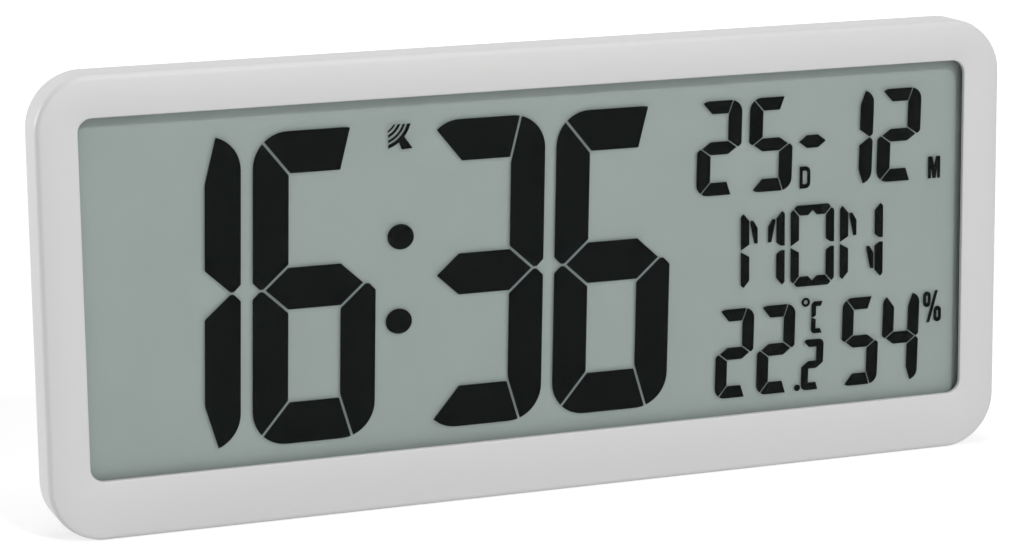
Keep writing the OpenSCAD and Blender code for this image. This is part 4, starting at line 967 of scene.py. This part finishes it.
def make_camera():
    """Camera at the photograph's place: to the left of the clock and above it."""
    lens = bpy.data.cameras.new("view")
    lens.lens = 118.25588
    lens.sensor_width = 36.0
    lens.clip_end = 30.0
    camera = bpy.data.objects.new("view", lens)
    camera.location = (-0.38929931, -1.02649603, 0.29845139)
    camera.rotation_euler = (1.36628315, 0.01184816, -0.35915330)
    bpy.context.scene.collection.objects.link(camera)
    bpy.context.scene.camera = camera


def make_studio(studio):
    """Floor, surroundings, lights and camera."""
    make_floor()
    make_world(studio)
    for name, place, size in LIGHTS:
        soft_light(name, place, size, getattr(studio, name + "_watts"))
    make_camera()
    bpy.context.scene.view_settings.view_transform = "Standard"
    bpy.context.scene.cycles.transparent_max_bounces = 32


# Operators and panel

class CLOCK_OT_front_frame(Operator):
    """Front frame with its crowned face, round window lip, bosses and posts"""

    bl_idname = "clock.front_frame"
    bl_label = "Front frame"

    def execute(self, context):
        satin = make_frame_shell(context.scene.clock_sizes, context.scene.clock_colours)
        make_frame_bosses(context.scene.clock_sizes, satin)
        return {"FINISHED"}


class CLOCK_OT_display(Operator):
    """Display cell with its clear pane, figures and reflective sheet"""

    bl_idname = "clock.display"
    bl_label = "Display"

    def execute(self, context):
        make_display(context.scene.clock_sizes, context.scene.clock_colours)
        return {"FINISHED"}


class CLOCK_OT_rear_shell(Operator):
    """Rear shell with its battery door and stand legs"""

    bl_idname = "clock.rear_shell"
    bl_label = "Rear shell"

    def execute(self, context):
        make_rear_shell(context.scene.clock_sizes, context.scene.clock_colours)
        return {"FINISHED"}


class CLOCK_OT_screws(Operator):
    """Screws that hold the case and the boards"""

    bl_idname = "clock.screws"
    bl_label = "Screws"

    def execute(self, context):
        make_housing_screws(context.scene.clock_sizes)
        return {"FINISHED"}


class CLOCK_OT_buttons(Operator):
    """Push buttons on the back"""

    bl_idname = "clock.buttons"
    bl_label = "Buttons"

    def execute(self, context):
        make_buttons(context.scene.clock_sizes, context.scene.clock_colours)
        return {"FINISHED"}


class CLOCK_OT_cells(Operator):
    """Battery cells and their contacts"""

    bl_idname = "clock.cells"
    bl_label = "Battery cells"

    def execute(self, context):
        make_cells(context.scene.clock_sizes, context.scene.clock_colours)
        return {"FINISHED"}


class CLOCK_OT_inner_parts(Operator):
    """Carrier, boards, antenna and leads inside the case"""

    bl_idname = "clock.inner_parts"
    bl_label = "Inner parts"

    def execute(self, context):
        make_inner_parts()
        return {"FINISHED"}


class CLOCK_OT_studio(Operator):
    """Floor, surroundings, lights and camera"""

    bl_idname = "clock.studio"
    bl_label = "Studio"

    def execute(self, context):
        make_studio(context.scene.clock_studio)
        return {"FINISHED"}


OPERATORS = (CLOCK_OT_front_frame, CLOCK_OT_display, CLOCK_OT_rear_shell, CLOCK_OT_screws,
             CLOCK_OT_buttons, CLOCK_OT_cells, CLOCK_OT_inner_parts, CLOCK_OT_studio)


class CLOCK_PT_sidebar(Panel):
    """Steps that build the clock's looks, with their sizes, colours and lights"""

    bl_idname = "CLOCK_PT_sidebar"
    bl_label = "Display clock"
    bl_space_type = "VIEW_3D"
    bl_region_type = "UI"
    bl_category = "Clock"

    def draw(self, context):
        for operator in OPERATORS:
            self.layout.operator(operator.bl_idname)
        for group in (context.scene.clock_sizes, context.scene.clock_colours, context.scene.clock_studio):
            box = self.layout.box()
            for name in group.bl_rna.properties.keys():
                if name not in {"rna_type", "name"}:
                    box.prop(group, name)


CLASSES = (ClockSizes, ClockColours, ClockStudio, *OPERATORS, CLOCK_PT_sidebar)


def register():
    """Adds the classes, and the settings that a scene keeps."""
    for item in CLASSES:
        bpy.utils.register_class(item)
    bpy.types.Scene.clock_sizes = PointerProperty(type=ClockSizes)
    bpy.types.Scene.clock_colours = PointerProperty(type=ClockColours)
    bpy.types.Scene.clock_studio = PointerProperty(type=ClockStudio)


def unregister():
    """Takes the settings and the classes away again."""
    del bpy.types.Scene.clock_studio
    del bpy.types.Scene.clock_colours
    del bpy.types.Scene.clock_sizes
    for item in reversed(CLASSES):
        bpy.utils.unregister_class(item)


def main():
    """Builds every piece and the studio."""
    register()
    bpy.ops.clock.front_frame()
    bpy.ops.clock.display()
    bpy.ops.clock.rear_shell()
    bpy.ops.clock.screws()
    bpy.ops.clock.buttons()
    bpy.ops.clock.cells()
    bpy.ops.clock.inner_parts()
    bpy.ops.clock.studio()


if __name__ == "__main__":
    main()
